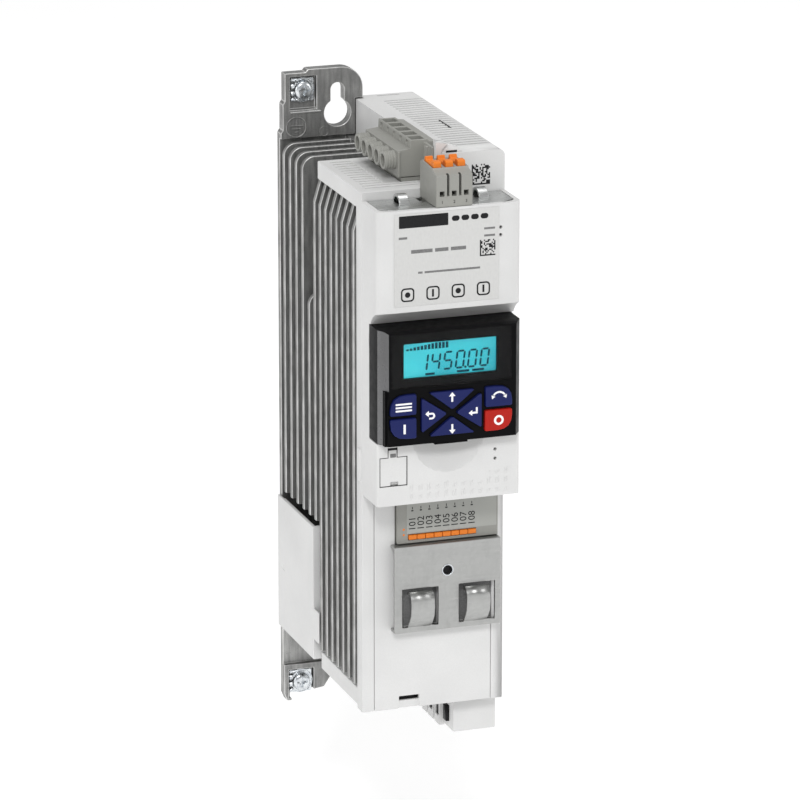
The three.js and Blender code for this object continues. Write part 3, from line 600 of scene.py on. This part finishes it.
def lettering(name, marks, size, depth, body, slot, material, turn=0):
    """Plain numbers printed on the plane at that depth: each is a (text, x, z) about its centre."""
    bm = bmesh.new()
    for text, x, z in marks:
        font = bpy.data.curves.new("number", "FONT")
        font.body = text
        font.size = mm(size)
        font.align_x = "CENTER"
        font.align_y = "CENTER"
        font.extrude = mm(INK)
        holder = add_object("number", font)
        mesh = evaluated_mesh(holder)
        upright = Matrix.Rotation(math.radians(90), 4, "X")
        turned = Matrix.Rotation(math.radians(-turn), 4, "Y") @ upright
        mesh.transform(Matrix.Translation((mm(x), mm(-depth - INK), mm(z))) @ turned)
        bm.from_mesh(mesh)
        bpy.data.objects.remove(holder)
    crease(new_piece(name, mesh_from(bm, name), body, slot, material), 30)


# ---------------- heatsink and earthing screws

# The heatsink's rounded edges take the lighter casting, a painted highlight along the fins.
formed("heatsink", "heatsink_casting", "casting", 0.32, 3, edge="casting_highlight")

FLANGE_FRONT = 5.0  # depth of the mounting plate's front face
washer_x, _, washer_z = centre_mm("earth_washer_top")
mark_x, mark_z = washer_x - 2.9, washer_z - 15.0
earth_sign = [arc(mark_x, mark_z, 4.1, 0, 360, 28), [(mark_x, mark_z + 2.9), (mark_x, mark_z + 0.6)]]
for half_width, drop in [(2.6, 0.6), (1.7, -0.7), (0.8, -2.0)]:
    earth_sign.append([(mark_x - half_width, mark_z + drop), (mark_x + half_width, mark_z + drop)])
ridge("cast_earth_sign", earth_sign, FLANGE_FRONT, 0.36, "drive", "cast_aluminium", "casting")
# The ledge is a raised cord in the lighter casting, a painted highlight along the pocket's lower edge.
ridge("cast_ledge", [[(washer_x - 5.4, washer_z - 9.0), (washer_x + 7.2, washer_z - 9.0)]],
      FLANGE_FRONT, 0.5, "drive", "cast_aluminium", "casting_highlight")
ejector_spots = [arc(washer_x + 8.6, washer_z - 17.5, 1.9, 0, 360, 20)]
ridge("cast_ejector_mark", ejector_spots, FLANGE_FRONT, 0.12, "drive", "cast_aluminium", "casting")

for end in ("top", "bottom"):
    low, high = box_mm(f"earth_screw_{end}")
    x, _, z = centre_mm(f"earth_screw_{end}")
    rear, front = -high[1], -low[1]
    radius = (high[0] - low[0]) / 2
    head_height = 2.4
    base = front - rear - head_height
    profile = [(0, 0), (1.55, 0), (1.75, 0.3), (1.75, base), (radius - 0.3, base),
               (radius, base + 0.35), (radius, base + 1.3), (radius - 0.25, base + 1.75),
               (radius - 0.9, base + 2.15), (radius - 1.9, base + 2.35), (0, base + head_height)]
    screw = lathe(f"earth_screw_{end}_turned", profile, (x, -rear, z), (0, -1, 0),
                  "drive", "zinc_steel", "screw")
    top = -front
    for wide, high_half, deep in [(2.2, 0.42, 1.2), (0.42, 2.2, 1.2), (0.95, 0.95, 1.35)]:
        carved(screw, [((x - wide, top - 1, z - high_half), (x + wide, top + deep, z + high_half))])
    crease(screw, 40)
    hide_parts(f"earth_screw_{end}")
    washer = formed(f"earth_washer_{end}", f"earth_washer_{end}_pressed", "screw", 0.25, 3)
    low, high = box_mm(f"earth_washer_{end}")
    notches = [((low[0] - 1, low[1] - 1, z + offset - 0.45),
                (low[0] + 1.7, high[1] + 1, z + offset + 0.45)) for offset in (-3, 0, 3)]
    carved(washer, notches)
    swirls = [band(x, z, radius, 0.35, start, start + 100, 14)
              for radius, start in [(4.1, 20), (4.1, 200), (4.9, 35), (4.9, 215), (4.9, 305)]]
    relief(f"earth_washer_{end}_grips", swirls, -low[1] - 0.05, 0.25,
           "drive", "zinc_steel", "screw", rounding=0.08)

# ---------------- fan unit

formed("fan_tray", "fan_tray_moulding", "white", 0.35)
formed("fan_frame", "fan_frame_moulding", "component", 0.3)

BLADES = 7
BLADE_STEPS = 6


def fan_wheel():
    """A hub with blades that twist and sweep from root to tip, as one moulding."""
    low, high = box_mm("fan_rotor")
    joint = next(joint for joint in frame["joints"] if joint["name"] == "fan_spin")
    x, y = 1000 * joint["pos_m"][0], 1000 * joint["pos_m"][1]
    bottom, top = low[2], high[2]
    hub = [(0, bottom), (5.6, bottom), (6.3, bottom + 0.7), (6.3, top - 0.9), (5.5, top),
           (0, top - 0.15)]
    wheel = lathe("fan_wheel", hub, (x, y, 0), (0, 0, 1), "fan_rotor", "component_black", "component")
    bm = bmesh.new()
    bm.from_mesh(wheel.data)
    for blade in range(BLADES):
        rows = []
        for step in range(BLADE_STEPS + 1):
            share = step / BLADE_STEPS
            radius = 5.9 + 7.0 * share
            pitch = math.radians(52 - 22 * share)
            chord = 6.0 + 2.2 * share
            turn = 2 * math.pi * blade / BLADES + 0.25 * share
            row = []
            for along, offset in [(-0.5, 0), (0, 0.45), (0.5, 0), (0, -0.35)]:
                side = chord * along * math.cos(pitch) - offset * math.sin(pitch)
                rise = chord * along * math.sin(pitch) + offset * math.cos(pitch)
                angle = turn + side / radius
                point = (x + radius * math.cos(angle), y + radius * math.sin(angle),
                         (bottom + top) / 2 + rise)
                row.append(bm.verts.new([mm(value) for value in point]))
            rows.append(row)
        for first, second in zip(rows, rows[1:]):
            for index in range(4):
                after = (index + 1) % 4
                bm.faces.new((first[index], first[after], second[after], second[index]))
        bm.faces.new(rows[0])
        bm.faces.new(rows[-1][::-1])
    bmesh.ops.recalc_face_normals(bm, faces=bm.faces)
    bm.to_mesh(wheel.data)
    bm.free()
    wheel.data.shade_smooth()
    crease(wheel, 50)
    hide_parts("fan_rotor")


fan_wheel()

# ---------------- housing

formed("side_housing", "side_housing_moulding", "white", 0.32)
formed("front_frame", "front_frame_moulding", "white", 0.32)
formed("lower_front_panel", "lower_front_moulding", "white", 0.28)

WALL = 1.8
BOSS_RISE = 4.6  # of the housing's highest point above its vented top
housing_low, housing_high = box_mm("side_housing")
strip_low, strip_high = box_mm("front_frame")
vent_floor = housing_high[2] - BOSS_RISE - WALL
side_floor = housing_high[0] - WALL
strip_floor = strip_high[2] - WALL

random.seed(11)


def code_cells(x0, x1, z0, z1, count):
    """A meaningless grid of dark cells with a solid left and lower border."""
    width, height = (x1 - x0) / count, (z1 - z0) / count
    cells = []
    for row in range(count):
        for column in range(count):
            if column == 0 or row == 0 or random.random() < 0.46:
                x, z = x0 + column * width, z0 + row * height
                cells.append(rectangle(x, x + width, z, z + height))
    return cells


# Black blocks of painted shade in the slot along the vents, the slot at the wall, and the two pockets behind the
# relay terminal.
HOUSING_SLOTS = [(21.6, 22.5, 50, 64.6, 250.2, 251.3), (12.4, 22, 2.2, 3.1, 250.2, 251.3),
                 (3.5, 6.1, 93, 97.3, 250, 250.3), (6.5, 10.9, 99.6, 102.8, 251.3, 252.3)]
solids("housing_slot_shadows", HOUSING_SLOTS, "drive", "white_plastic", "ink")

# Dark grey sheets of painted shade under the vents, which darken the slots: the housing's top and side, and the
# two parts of the front strip.
vent_front, vent_rear = housing_low[1] + 6, housing_high[1] - 9
strip_front, strip_step = strip_low[1] + 4, -9.4
vent_shade_sheets = bmesh.new()
for corners in [
        ((housing_low[0] + 4.5, vent_front, vent_floor - 1.4),
         (side_floor - 2.2, vent_rear, vent_floor - 0.2)),
        ((side_floor - 0.7, vent_front, vent_floor - 4),
         (side_floor - 0.1, vent_rear, vent_floor - 2.2)),
        ((strip_low[0] + 2, strip_front, strip_floor - 1.6),
         (strip_step + 0.2, strip_high[1] - 2.4, strip_floor - 0.4)),
        ((strip_step, strip_front, strip_floor - 1.6), (0.2, strip_low[1] + 11.2, strip_floor - 0.4))]:
    add_block(vent_shade_sheets, *corners)
new_piece("vent_shade_sheets", mesh_from(vent_shade_sheets, "vent_shade_sheets"), "drive", "white_plastic", "grey_ink_and_shade")
# A black block of painted shade inside the latch slot.
LATCH_SLOT = (-13.2, -4.2, 99.9, 101.8, 31.2, 34.2)
solids("latch_slot_shadow", [LATCH_SLOT], "drive", "white_plastic", "ink")

code_right, code_top = housing_high[0] - 6.0, housing_high[2] - 9.8
relief("housing_code_mark", code_cells(code_right - 7.5, code_right, code_top - 8.1, code_top, 14),
       -housing_low[1] + 0.01, 0.03, "drive", "label_film", "ink")

# ---------------- control cover and its print

formed("control_cover", "control_cover_moulding", "white", 0.35, 3)
formed("front_label", "front_label_film", "label", 0.05, 1)

label_low, label_high = box_mm("front_label")
left, top, bottom = label_low[0], label_high[2], label_low[2]
print_depth = -label_low[1] + INK_LIFT


def label_print(name, outlines, material):
    relief(name, outlines, print_depth, INK, "drive", "label_film", material)


label_print("label_dark_panel", [rounded(left + 1.9, left + 21.7, top - 5.6, top - 0.8, 0.3)], "ink")
LAMP_PITCH = 3.87
lamps = [rounded(left + 23.15 + LAMP_PITCH * index, left + 26.25 + LAMP_PITCH * index,
                 top - 4.25, top - 2.15, 1.0) for index in range(4)]
label_print("label_lamp_windows", lamps, "ink")
label_print("label_code_mark", code_cells(left + 34.5, left + 40.8, top - 19.0, top - 12.6, 12), "ink")
title = [rectangle(left + start, left + end, top - 15.7, top - 14.3)
         for start, end in [(6.8, 15.4), (16.4, 21.8), (22.8, 28.9)]]
captions = [rectangle(left + start, left + end, top + drop, top + drop + thickness)
            for start, end, drop, thickness in [
                (9.6, 11.4, -23.8, 0.8), (12.2, 34.6, -23.8, 0.8), (1.8, 5.2, -9.9, 0.9),
                (36.2, 40.6, -8.6, 0.8), (36.2, 40.6, -11.4, 0.8)]]
label_print("label_title_lines", title, "grey_ink_and_shade")
label_print("label_small_lines", captions, "grey_ink_and_shade")


def plain_pictogram(x, z, size, filled):
    """A rounded frame with a dot or a bar in it, which stands for nothing."""
    reach, stroke = size / 2, 0.6
    outer = rounded(x - reach, x + reach, z - reach, z + reach, 1.5)
    inner = rounded(x - reach + stroke, x + reach - stroke, z - reach + stroke, z + reach - stroke, 1.0)
    half = len(outer) // 2
    first = outer[:half + 1] + inner[:half + 1][::-1]
    second = outer[half:] + outer[:1] + inner[:1] + inner[half:][::-1]
    core = arc(x, z, 1.1, 0, 345, 14) if filled else rectangle(x - 0.4, x + 0.4, z - 1.5, z + 1.5)
    return [first, second, core]


pictograms = []
for index in range(4):
    pictograms += plain_pictogram(left + 5.4 + 10.2 * index, bottom + 4.6, 5.4, index % 2 == 0)
label_print("label_plain_signs", pictograms, "ink")

LOWER_FACE = 122.6  # depth of the cover's front face below the keypad
cover_bottom = box_mm("control_cover")[0][2]
embossed = []
for column in range(12):
    x = -14.0 + 3.5 * column
    lengths = [0.9 + 1.5 * random.random() for _ in range(3)]
    for row, length in enumerate(lengths):
        z = cover_bottom + 1.6 + 3.6 * row
        embossed.append(rectangle(x - 0.75, x - 0.35, z, z + length))
        embossed.append(rectangle(x + 0.2, x + 0.6, z + 0.4, z + 0.4 + length))
# The upper row stays only on the right, past the recess under the keypad.
kept = [mark for mark in embossed if mark[2][1] < cover_bottom + 9.0 or mark[0][0] > 17]
relief("cover_embossed_marks", kept, LOWER_FACE - 0.01, 0.17, "drive", "white_plastic", "white",
       rounding=0.05)

formed("memory_module", "memory_module_moulding", "white", 0.16)
module_low, module_high = box_mm("memory_module")
module_left, module_right = module_low[0], module_high[0]
module_bottom, module_top = module_low[2], module_high[2]
# A black line of painted shade fills the gap all round the module, which is narrower above its shoulder.
GAP = 0.3
NECK_LEFT, NECK_RIGHT, SHOULDER = -23.6, -20.2, 137.9 - MID_HEIGHT
gap_shade = [(module_left - GAP, module_left, module_bottom - GAP, SHOULDER + GAP),
        (module_right, module_right + GAP, module_bottom - GAP, SHOULDER + GAP),
        (module_left - GAP, module_right + GAP, module_bottom - GAP, module_bottom),
        (module_left - GAP, NECK_LEFT, SHOULDER, SHOULDER + GAP),
        (NECK_RIGHT, module_right + GAP, SHOULDER, SHOULDER + GAP),
        (NECK_LEFT - GAP, NECK_LEFT, SHOULDER, module_top + 1),
        (NECK_RIGHT, NECK_RIGHT + GAP, SHOULDER, module_top + 1),
        (NECK_LEFT - GAP, NECK_RIGHT + GAP, module_top, module_top + 1)]
relief("memory_module_gap_shade", [rectangle(*sides) for sides in gap_shade], LOWER_FACE - 0.4, 0.3,
       "drive", "white_plastic", "ink")
module_tab = rounded(module_left + 4.0, module_left + 6.4, module_top - 3.0, module_top - 1.4, 0.3)
relief("memory_module_print", [module_tab], -module_low[1] + INK_LIFT, INK,
       "memory_module", "white_plastic", "grey_ink_and_shade")

# ---------------- keypad

keypad = formed("keypad_housing", "keypad_housing_moulding", "black", 0.4, 3)
FIELD_CORNER = (-26.0, -25.3, 127.7, 128.52, 144.3, 166.15)  # where the key field meets the chamfer
solids("keypad_field_corner", [FIELD_CORNER], "keypad", SLOT_OF["keypad_housing"], "black")
# The left-facing chamfer faces get the lighter grey: painted light where that side catches the lamps.
keypad.data.materials.append(MATERIALS["black_painted_light"])
for face in keypad.data.polygons:
    if face.normal.x < -0.6 and face.normal.y < -0.3:
        face.material_index = 1
formed("keypad_back", "keypad_back_moulding", "black", 0.2)
formed("keypad_circuit_board", "keypad_board", "board", 0.12, 1)
formed("display_window", "display_window_pane", "window", 0.12)
formed("display_module", "display_module_panel", "crystal", 0.15)

SEGMENTS = {"0": "abcdef", "1": "bc", "4": "bcfg", "5": "acdfg"}
READING = "145000"


def digit_outlines(character, x, z, width, height, stroke, lean):
    """Seven-segment strokes with pointed ends, leaning to the right, as (x, z) outlines."""
    middle = height / 2
    bars = {"a": (0, height, width, height), "g": (0, middle, width, middle), "d": (0, 0, width, 0),
            "f": (0, middle, 0, height), "b": (width, middle, width, height),
            "e": (0, 0, 0, middle), "c": (width, 0, width, middle)}
    outlines = []
    for segment in SEGMENTS[character]:
        x0, z0, x1, z1 = bars[segment]
        gap, half = 0.14, stroke / 2
        if z0 == z1:
            points = [(x0 + gap, z0), (x0 + gap + half, z0 - half), (x1 - gap - half, z0 - half),
                      (x1 - gap, z0), (x1 - gap - half, z0 + half), (x0 + gap + half, z0 + half)]
        else:
            points = [(x0, z0 + gap), (x0 + half, z0 + gap + half), (x0 + half, z1 - gap - half),
                      (x0, z1 - gap), (x0 - half, z1 - gap - half), (x0 - half, z0 + gap + half)]
        outlines.append([(x + u + lean * v, z + v) for u, v in points])
    return outlines


panel_low, panel_high = box_mm("display_module")
panel_left, panel_top, panel_depth = panel_low[0] + 2.4, panel_high[2] - 1.3, -panel_low[1]
digits_left, DIGIT_PITCH = panel_left + 7.0, 4.95
reading = []
for index, character in enumerate(READING):
    reading += digit_outlines(character, digits_left + DIGIT_PITCH * index, panel_top - 12.4,
                              3.0, 6.6, 0.78, 0.12)
reading.append(arc(digits_left + DIGIT_PITCH * 4 - 0.95, panel_top - 12.3, 0.5, 0, 330, 10))
BAR_PITCH, BAR_WIDTH = 1.45, 1.05
bars_left, bars_foot = panel_left + 1.9, panel_top - 4.0
upper_row = [rectangle(bars_left + BAR_PITCH * index, bars_left + BAR_WIDTH + BAR_PITCH * index,
                       bars_foot, bars_foot + rise)
             for index, rise in enumerate([0.7, 0.9, 1.2, 1.4, 1.6, 1.8, 2.0, 2.2, 2.4, 2.4, 2.4, 2.4])]
lower_row = [rounded(panel_left + start, panel_left + end, panel_top - 14.3, panel_top - 13.4, 0.2)
             for start, end in [(9.6, 13.4), (22.4, 27.4), (28.6, 33.4)]]
relief("display_segments", reading + upper_row + lower_row, panel_depth + 0.01, 0.03,
       "keypad", "display_teal", "segment")

# Each key's front face is set back a little, so that the print on it stays inside the key's box.
PRINT_ROOM = 0.05
KEY_NAMES = ("control", "run", "up", "down", "back", "enter", "direction", "stop")
for name in KEY_NAMES:
    key = formed(f"key_{name}", f"key_{name}_cap", "red" if name == "stop" else "blue", 0.45, 3)
    face = min(vertex.co.y for vertex in key.data.vertices)
    for vertex in key.data.vertices:
        if vertex.co.y < face + mm(0.01):
            vertex.co.y = face + mm(PRINT_ROOM)


def arrow(x, z, length, width, head, stroke, direction):
    """An arrow about its centre; direction is in degrees from +X."""
    half = length / 2
    points = [(-half, -stroke / 2), (half - head, -stroke / 2), (half - head, -width / 2), (half, 0),
              (half - head, width / 2), (half - head, stroke / 2), (-half, stroke / 2)]
    cos, sin = math.cos(math.radians(direction)), math.sin(math.radians(direction))
    return [(x + cos * u - sin * v, z + sin * u + cos * v) for u, v in points]


def key_icon(name, x, z):
    """White print on each key, drawn about the middle of its box."""
    if name == "control":
        return [rounded(x - 3.3, x + 3.3, z + offset - 0.35, z + offset + 0.35, 0.2)
                for offset in (-2.0, -0.7, 0.6)]
    if name == "run":
        return [rounded(x - 0.1, x + 0.8, z - 1.9, z + 1.9, 0.15)]
    if name == "up":
        return [arrow(x, z + 1.2, 3.8, 2.6, 1.6, 0.75, 90)]
    if name == "down":
        return [arrow(x, z - 1.2, 3.8, 2.6, 1.6, 0.75, -90)]
    if name == "back":
        x, z = x - 1.5, z - 0.2
        return [arrow(x - 0.75, z + 0.75, 2.7, 2.4, 1.4, 0.75, 180),
                band(x + 0.55, z - 0.2, 0.95, 0.75, -90, 90, 12),
                rectangle(x - 0.5, x + 0.6, z - 1.52, z - 0.78)]
    if name == "enter":
        x, z = x + 1.7, z - 0.2
        return [arrow(x - 0.3, z - 0.5, 3.7, 2.3, 1.5, 0.75, 180),
                rectangle(x + 0.8, x + 1.55, z - 0.2, z + 1.6)]
    if name == "direction":
        return [band(x, z - 1.0, 2.7, 0.7, 28, 152, 16),
                arrow(x + 2.55, z - 0.15, 1.7, 1.7, 1.3, 0.6, -66),
                arrow(x - 2.55, z - 0.15, 1.7, 1.7, 1.3, 0.6, -114)]
    return [band(x, z, 1.55, 0.85, start, start + 180) for start in (0, 180)]


for name in KEY_NAMES:
    node = f"key_{name}"
    x, _, z = centre_mm(node)
    relief(f"{node}_icon", key_icon(name, x, z), -box_mm(node)[0][1] - PRINT_ROOM + INK_LIFT, 0.03,
           node, SLOT_OF[node], "white_ink")

# ---------------- terminals

formed("mains_header", "mains_header_moulding", "terminal", 0.15, 1)
formed("mains_plug", "mains_plug_moulding", "terminal", 0.25)
plug_low, plug_high = box_mm("mains_plug")
POLE_PITCH = 7.62
clamp_profile = [(0, 0), (2.2, 0), (2.2, 1.3), (1.9, 1.6), (0, 1.6)]
FUNNEL_RADIUS, RING_RADIUS, RING_PITCH = 3.55, 3.72, 1.1
ringed = [(3.3, 0), (FUNNEL_RADIUS, 0)]
for ring in range(4):
    start = RING_PITCH * ring
    ringed += [(RING_RADIUS, 0.2 + start), (RING_RADIUS, 0.6 + start), (FUNNEL_RADIUS, 0.8 + start)]
ringed.append((3.3, 4.2))
for index in range(5):
    y = plug_high[1] - 4.1 - POLE_PITCH * index
    x, z = plug_high[0] - 7.1, plug_high[2] - 4.4
    clamp = lathe(f"mains_clamp_screw_{index + 1}", clamp_profile, (x, y, z), (0, 0, 1),
                  "mains_plug", "zinc_steel", "screw", 28)
    carved(clamp, [((x - 2.4, y - 0.3, z + 0.9), (x + 2.4, y + 0.3, z + 2.0))])
    crease(clamp, 40)
    lathe(f"mains_funnel_rings_{index + 1}", ringed, (plug_low[0] + 4.6, y, plug_high[2] - 8.0),
          (-1, 0, 0), "mains_plug", "terminal_grey", "terminal", 40)

formed("relay_terminal", "relay_terminal_moulding", "terminal", 0.22)
relay_low = box_mm("relay_terminal")[0]
relay_numbers = []
for index in (1, 2, 3):
    node = f"relay_lever_{index}"
    formed(node, f"{node}_moulding", "orange", 0.35, 3)
    relay_numbers.append((str(index), centre_mm(node)[0], relay_low[2] + 6.25))
lettering("relay_terminal_numbers", relay_numbers, 1.7, -relay_low[1],
          "drive", "terminal_grey", "ink")

formed("control_terminal", "control_terminal_moulding", "terminal", 0.18)
control_low, control_high = box_mm("control_terminal")
pusher_tops = []
for index in range(1, 9):
    node = f"control_pusher_{index}"
    formed(node, f"{node}_moulding", "orange", 0.25)
    pusher_tops.append((centre_mm(node)[0], box_mm(node)[1][2]))
first_x, first_z = pusher_tops[0]
control_face = -control_low[1]
STRIP = 0.12  # thickness of the light strip that carries the terminal's print
strip_face = control_face + STRIP
strip = [rectangle(first_x - 2.4, control_high[0] - 0.6, first_z + 0.6, control_high[2] - 7)]
relief("control_terminal_strip", strip, control_face, STRIP,
       "drive", "terminal_grey", "terminal_light", rounding=0.04)
control_numbers = [(f"10{index + 1}", x, z + 4.5) for index, (x, z) in enumerate(pusher_tops)]
lettering("control_terminal_numbers", control_numbers, 3.9, strip_face,
          "drive", "terminal_grey", "ink", turn=90)
ticks = [rectangle(x - 0.55, x + 0.35, z + 9.6, z + 10.1) for x, z in pusher_tops]
ticks += [rectangle(x - 0.25, x + 0.05, z + 10.4, z + 11.4) for x, z in pusher_tops]
relief("control_terminal_ticks", ticks, strip_face + INK_LIFT, INK, "drive", "terminal_grey", "ink")
dots = [arc(first_x - 3.6, first_z + rise, 0.45, 0, 330, 12) for rise in (0.2, 2.4)]
relief("control_terminal_dots", dots, control_face + INK_LIFT, INK, "drive", "terminal_grey", "orange")

formed("motor_header", "motor_header_moulding", "terminal", 0.15, 1)
formed("motor_plug", "motor_plug_moulding", "white", 0.3)
REAR_MOTOR_POLE = 66.4
motor_poles = [REAR_MOTOR_POLE + POLE_PITCH * index for index in range(4)]
# Black blocks of painted shade inside the motor plug's wire entries.
entries = [(11.2, 12.6, depth - 1.9, depth + 1.9, 16.1, 22.4) for depth in motor_poles]
solids("motor_plug_entry_shadows", entries, "motor_plug", "white_plastic", "ink")

# ---------------- shield plates

# The top plate takes the lighter zinc, painted light on its upward face.
formed("top_shield_plate", "top_shield_sheet", "zinc_painted_light", 0.22)
formed("lower_shield_bracket", "lower_shield_sheet", "zinc", 0.28)
panel_face = -box_mm("lower_front_panel")[0][1]
# Grey patches of painted shade on the panel behind the bracket's windows.
windows = [rectangle(x, x + 16.8, -69.8, -52.1) for x in (-14.2, 8.3)]
relief("strap_window_shadows", windows, panel_face + 0.01, 0.03, "drive", "white_plastic", "grey_ink_and_shade")
BRACKET_FRONT = 109.0
hole_x, hole_z = 5.4, 85.6 - MID_HEIGHT
rim = [(1.95, 0), (2.45, 0.02), (2.35, 0.22), (2.05, 0.22), (1.95, -0.6)]
lathe("shield_hole_rim", rim, (hole_x, -BRACKET_FRONT, hole_z), (0, -1, 0),
      "drive", "zinc_steel", "screw", 32)
# A black disc of painted shade behind the bracket's hole.
lathe("shield_hole_shadow", [(0, 0), (2.0, 0), (2.0, 0.3), (0, 0.3)],
      (hole_x, -BRACKET_FRONT + 2.2, hole_z), (0, -1, 0), "drive", "zinc_steel", "ink", 32)

# ---------------- electronics inside

for node in ("power_board", "control_board"):
    formed(node, f"{node}_panel", "board", 0.12, 1)
formed("power_module", "power_module_moulding", "component", 0.5, 3)
formed("charging_relay", "charging_relay_can", "component", 0.5, 3)
formed("mains_filter_choke", "mains_filter_choke_winding", "copper", 0.05, 1)
for index in (1, 2, 3):
    node = f"dc_capacitor_{index}"
    low, high = box_mm(node)
    x, y, _ = centre_mm(node)
    radius, length = (high[0] - low[0]) / 2, high[2] - low[2]
    side, groove = radius - 0.05, radius - 0.6
    can = [(0, 0), (groove, 0), (side, 0.5), (side, 3.2), (groove, 3.9), (side, 4.6),
           (side, length - 0.6), (groove, length), (radius - 1.3, length),
           (radius - 1.5, length - 0.4), (0, length - 0.4)]
    sleeve = lathe(f"{node}_can", can, (x, y, low[2]), (0, 0, 1),
                   "drive", "capacitor_sleeve", "sleeve")
    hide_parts(node)

# ---------------- floor, light and camera

FAN_UNIT_TRAVEL = 60
FLOOR_REACH = 14  # metres


def studio_floor(height):
    """A pale sheet below the hung drive, clear of the fan unit when that is drawn out."""
    bm = bmesh.new()
    bmesh.ops.create_grid(bm, x_segments=4, y_segments=4, size=FLOOR_REACH)
    bmesh.ops.translate(bm, verts=bm.verts, vec=(0, 0, height))
    mesh = mesh_from(bm, "studio_floor")
    surface = Surface("studio_floor_paper", 0.9)
    paper = surface.blend(surface.noise(0.002, 2), (0.90, 0.90, 0.90), (0.92, 0.92, 0.92))
    surface.colour(paper)
    surface.tree.links.new(paper, surface.shader.inputs["Emission Color"])
    surface.shader.inputs["Emission Strength"].default_value = 0.3
    mesh.materials.append(surface.material)
    add_object("studio_floor", mesh)


def hang(name, light, direction, location=(0, 0, 0)):
    """Puts a lamp in place, shining that way."""
    lamp = add_object(name, light)
    lamp.location = location
    lamp.rotation_euler = Vector(direction).to_track_quat("-Z", "Y").to_euler()


def softbox(name, location, target, size, power):
    light = bpy.data.lights.new(name, "AREA")
    light.shape = "DISK"
    light.size = size
    light.energy = power
    hang(name, light, target - Vector(location), location)


low, high = cad_box
middle = (low + high) / 2
studio_floor(low.z - mm(FAN_UNIT_TRAVEL + 5))
sun = bpy.data.lights.new("key_light", "SUN")
sun.energy = 1.08
sun.angle = math.radians(13)
hang("key_light", sun, (0.30, 0.78, -0.66))
softbox("left_softbox", (-1.9, -0.7, 0.55), middle, 1.1, 5)
softbox("right_softbox", (1.6, -0.9, 0.8), middle, 1.0, 6)
softbox("top_softbox", (0.1, 0.1, 1.8), middle, 1.2, 9)

world = bpy.data.worlds.new("studio")
world.use_nodes = True
background = world.node_tree.nodes["Background"]
background.inputs["Color"].default_value = (1, 1, 1, 1)
background.inputs["Strength"].default_value = 0.48
bpy.context.scene.world = world
bpy.context.scene.view_settings.view_transform = "Standard"

# Solved from points on the photograph: azimuth about -19 degrees, elevation 16 degrees.
camera_data = bpy.data.cameras.new("camera")
camera_data.lens = 234.31
camera_data.sensor_width = 36
camera = add_object("camera", camera_data)
camera.location = (-0.63825, -1.93079, 0.59009)
camera.rotation_euler = (math.radians(73.6214), 0, math.radians(-18.9068))
bpy.context.scene.camera = camera
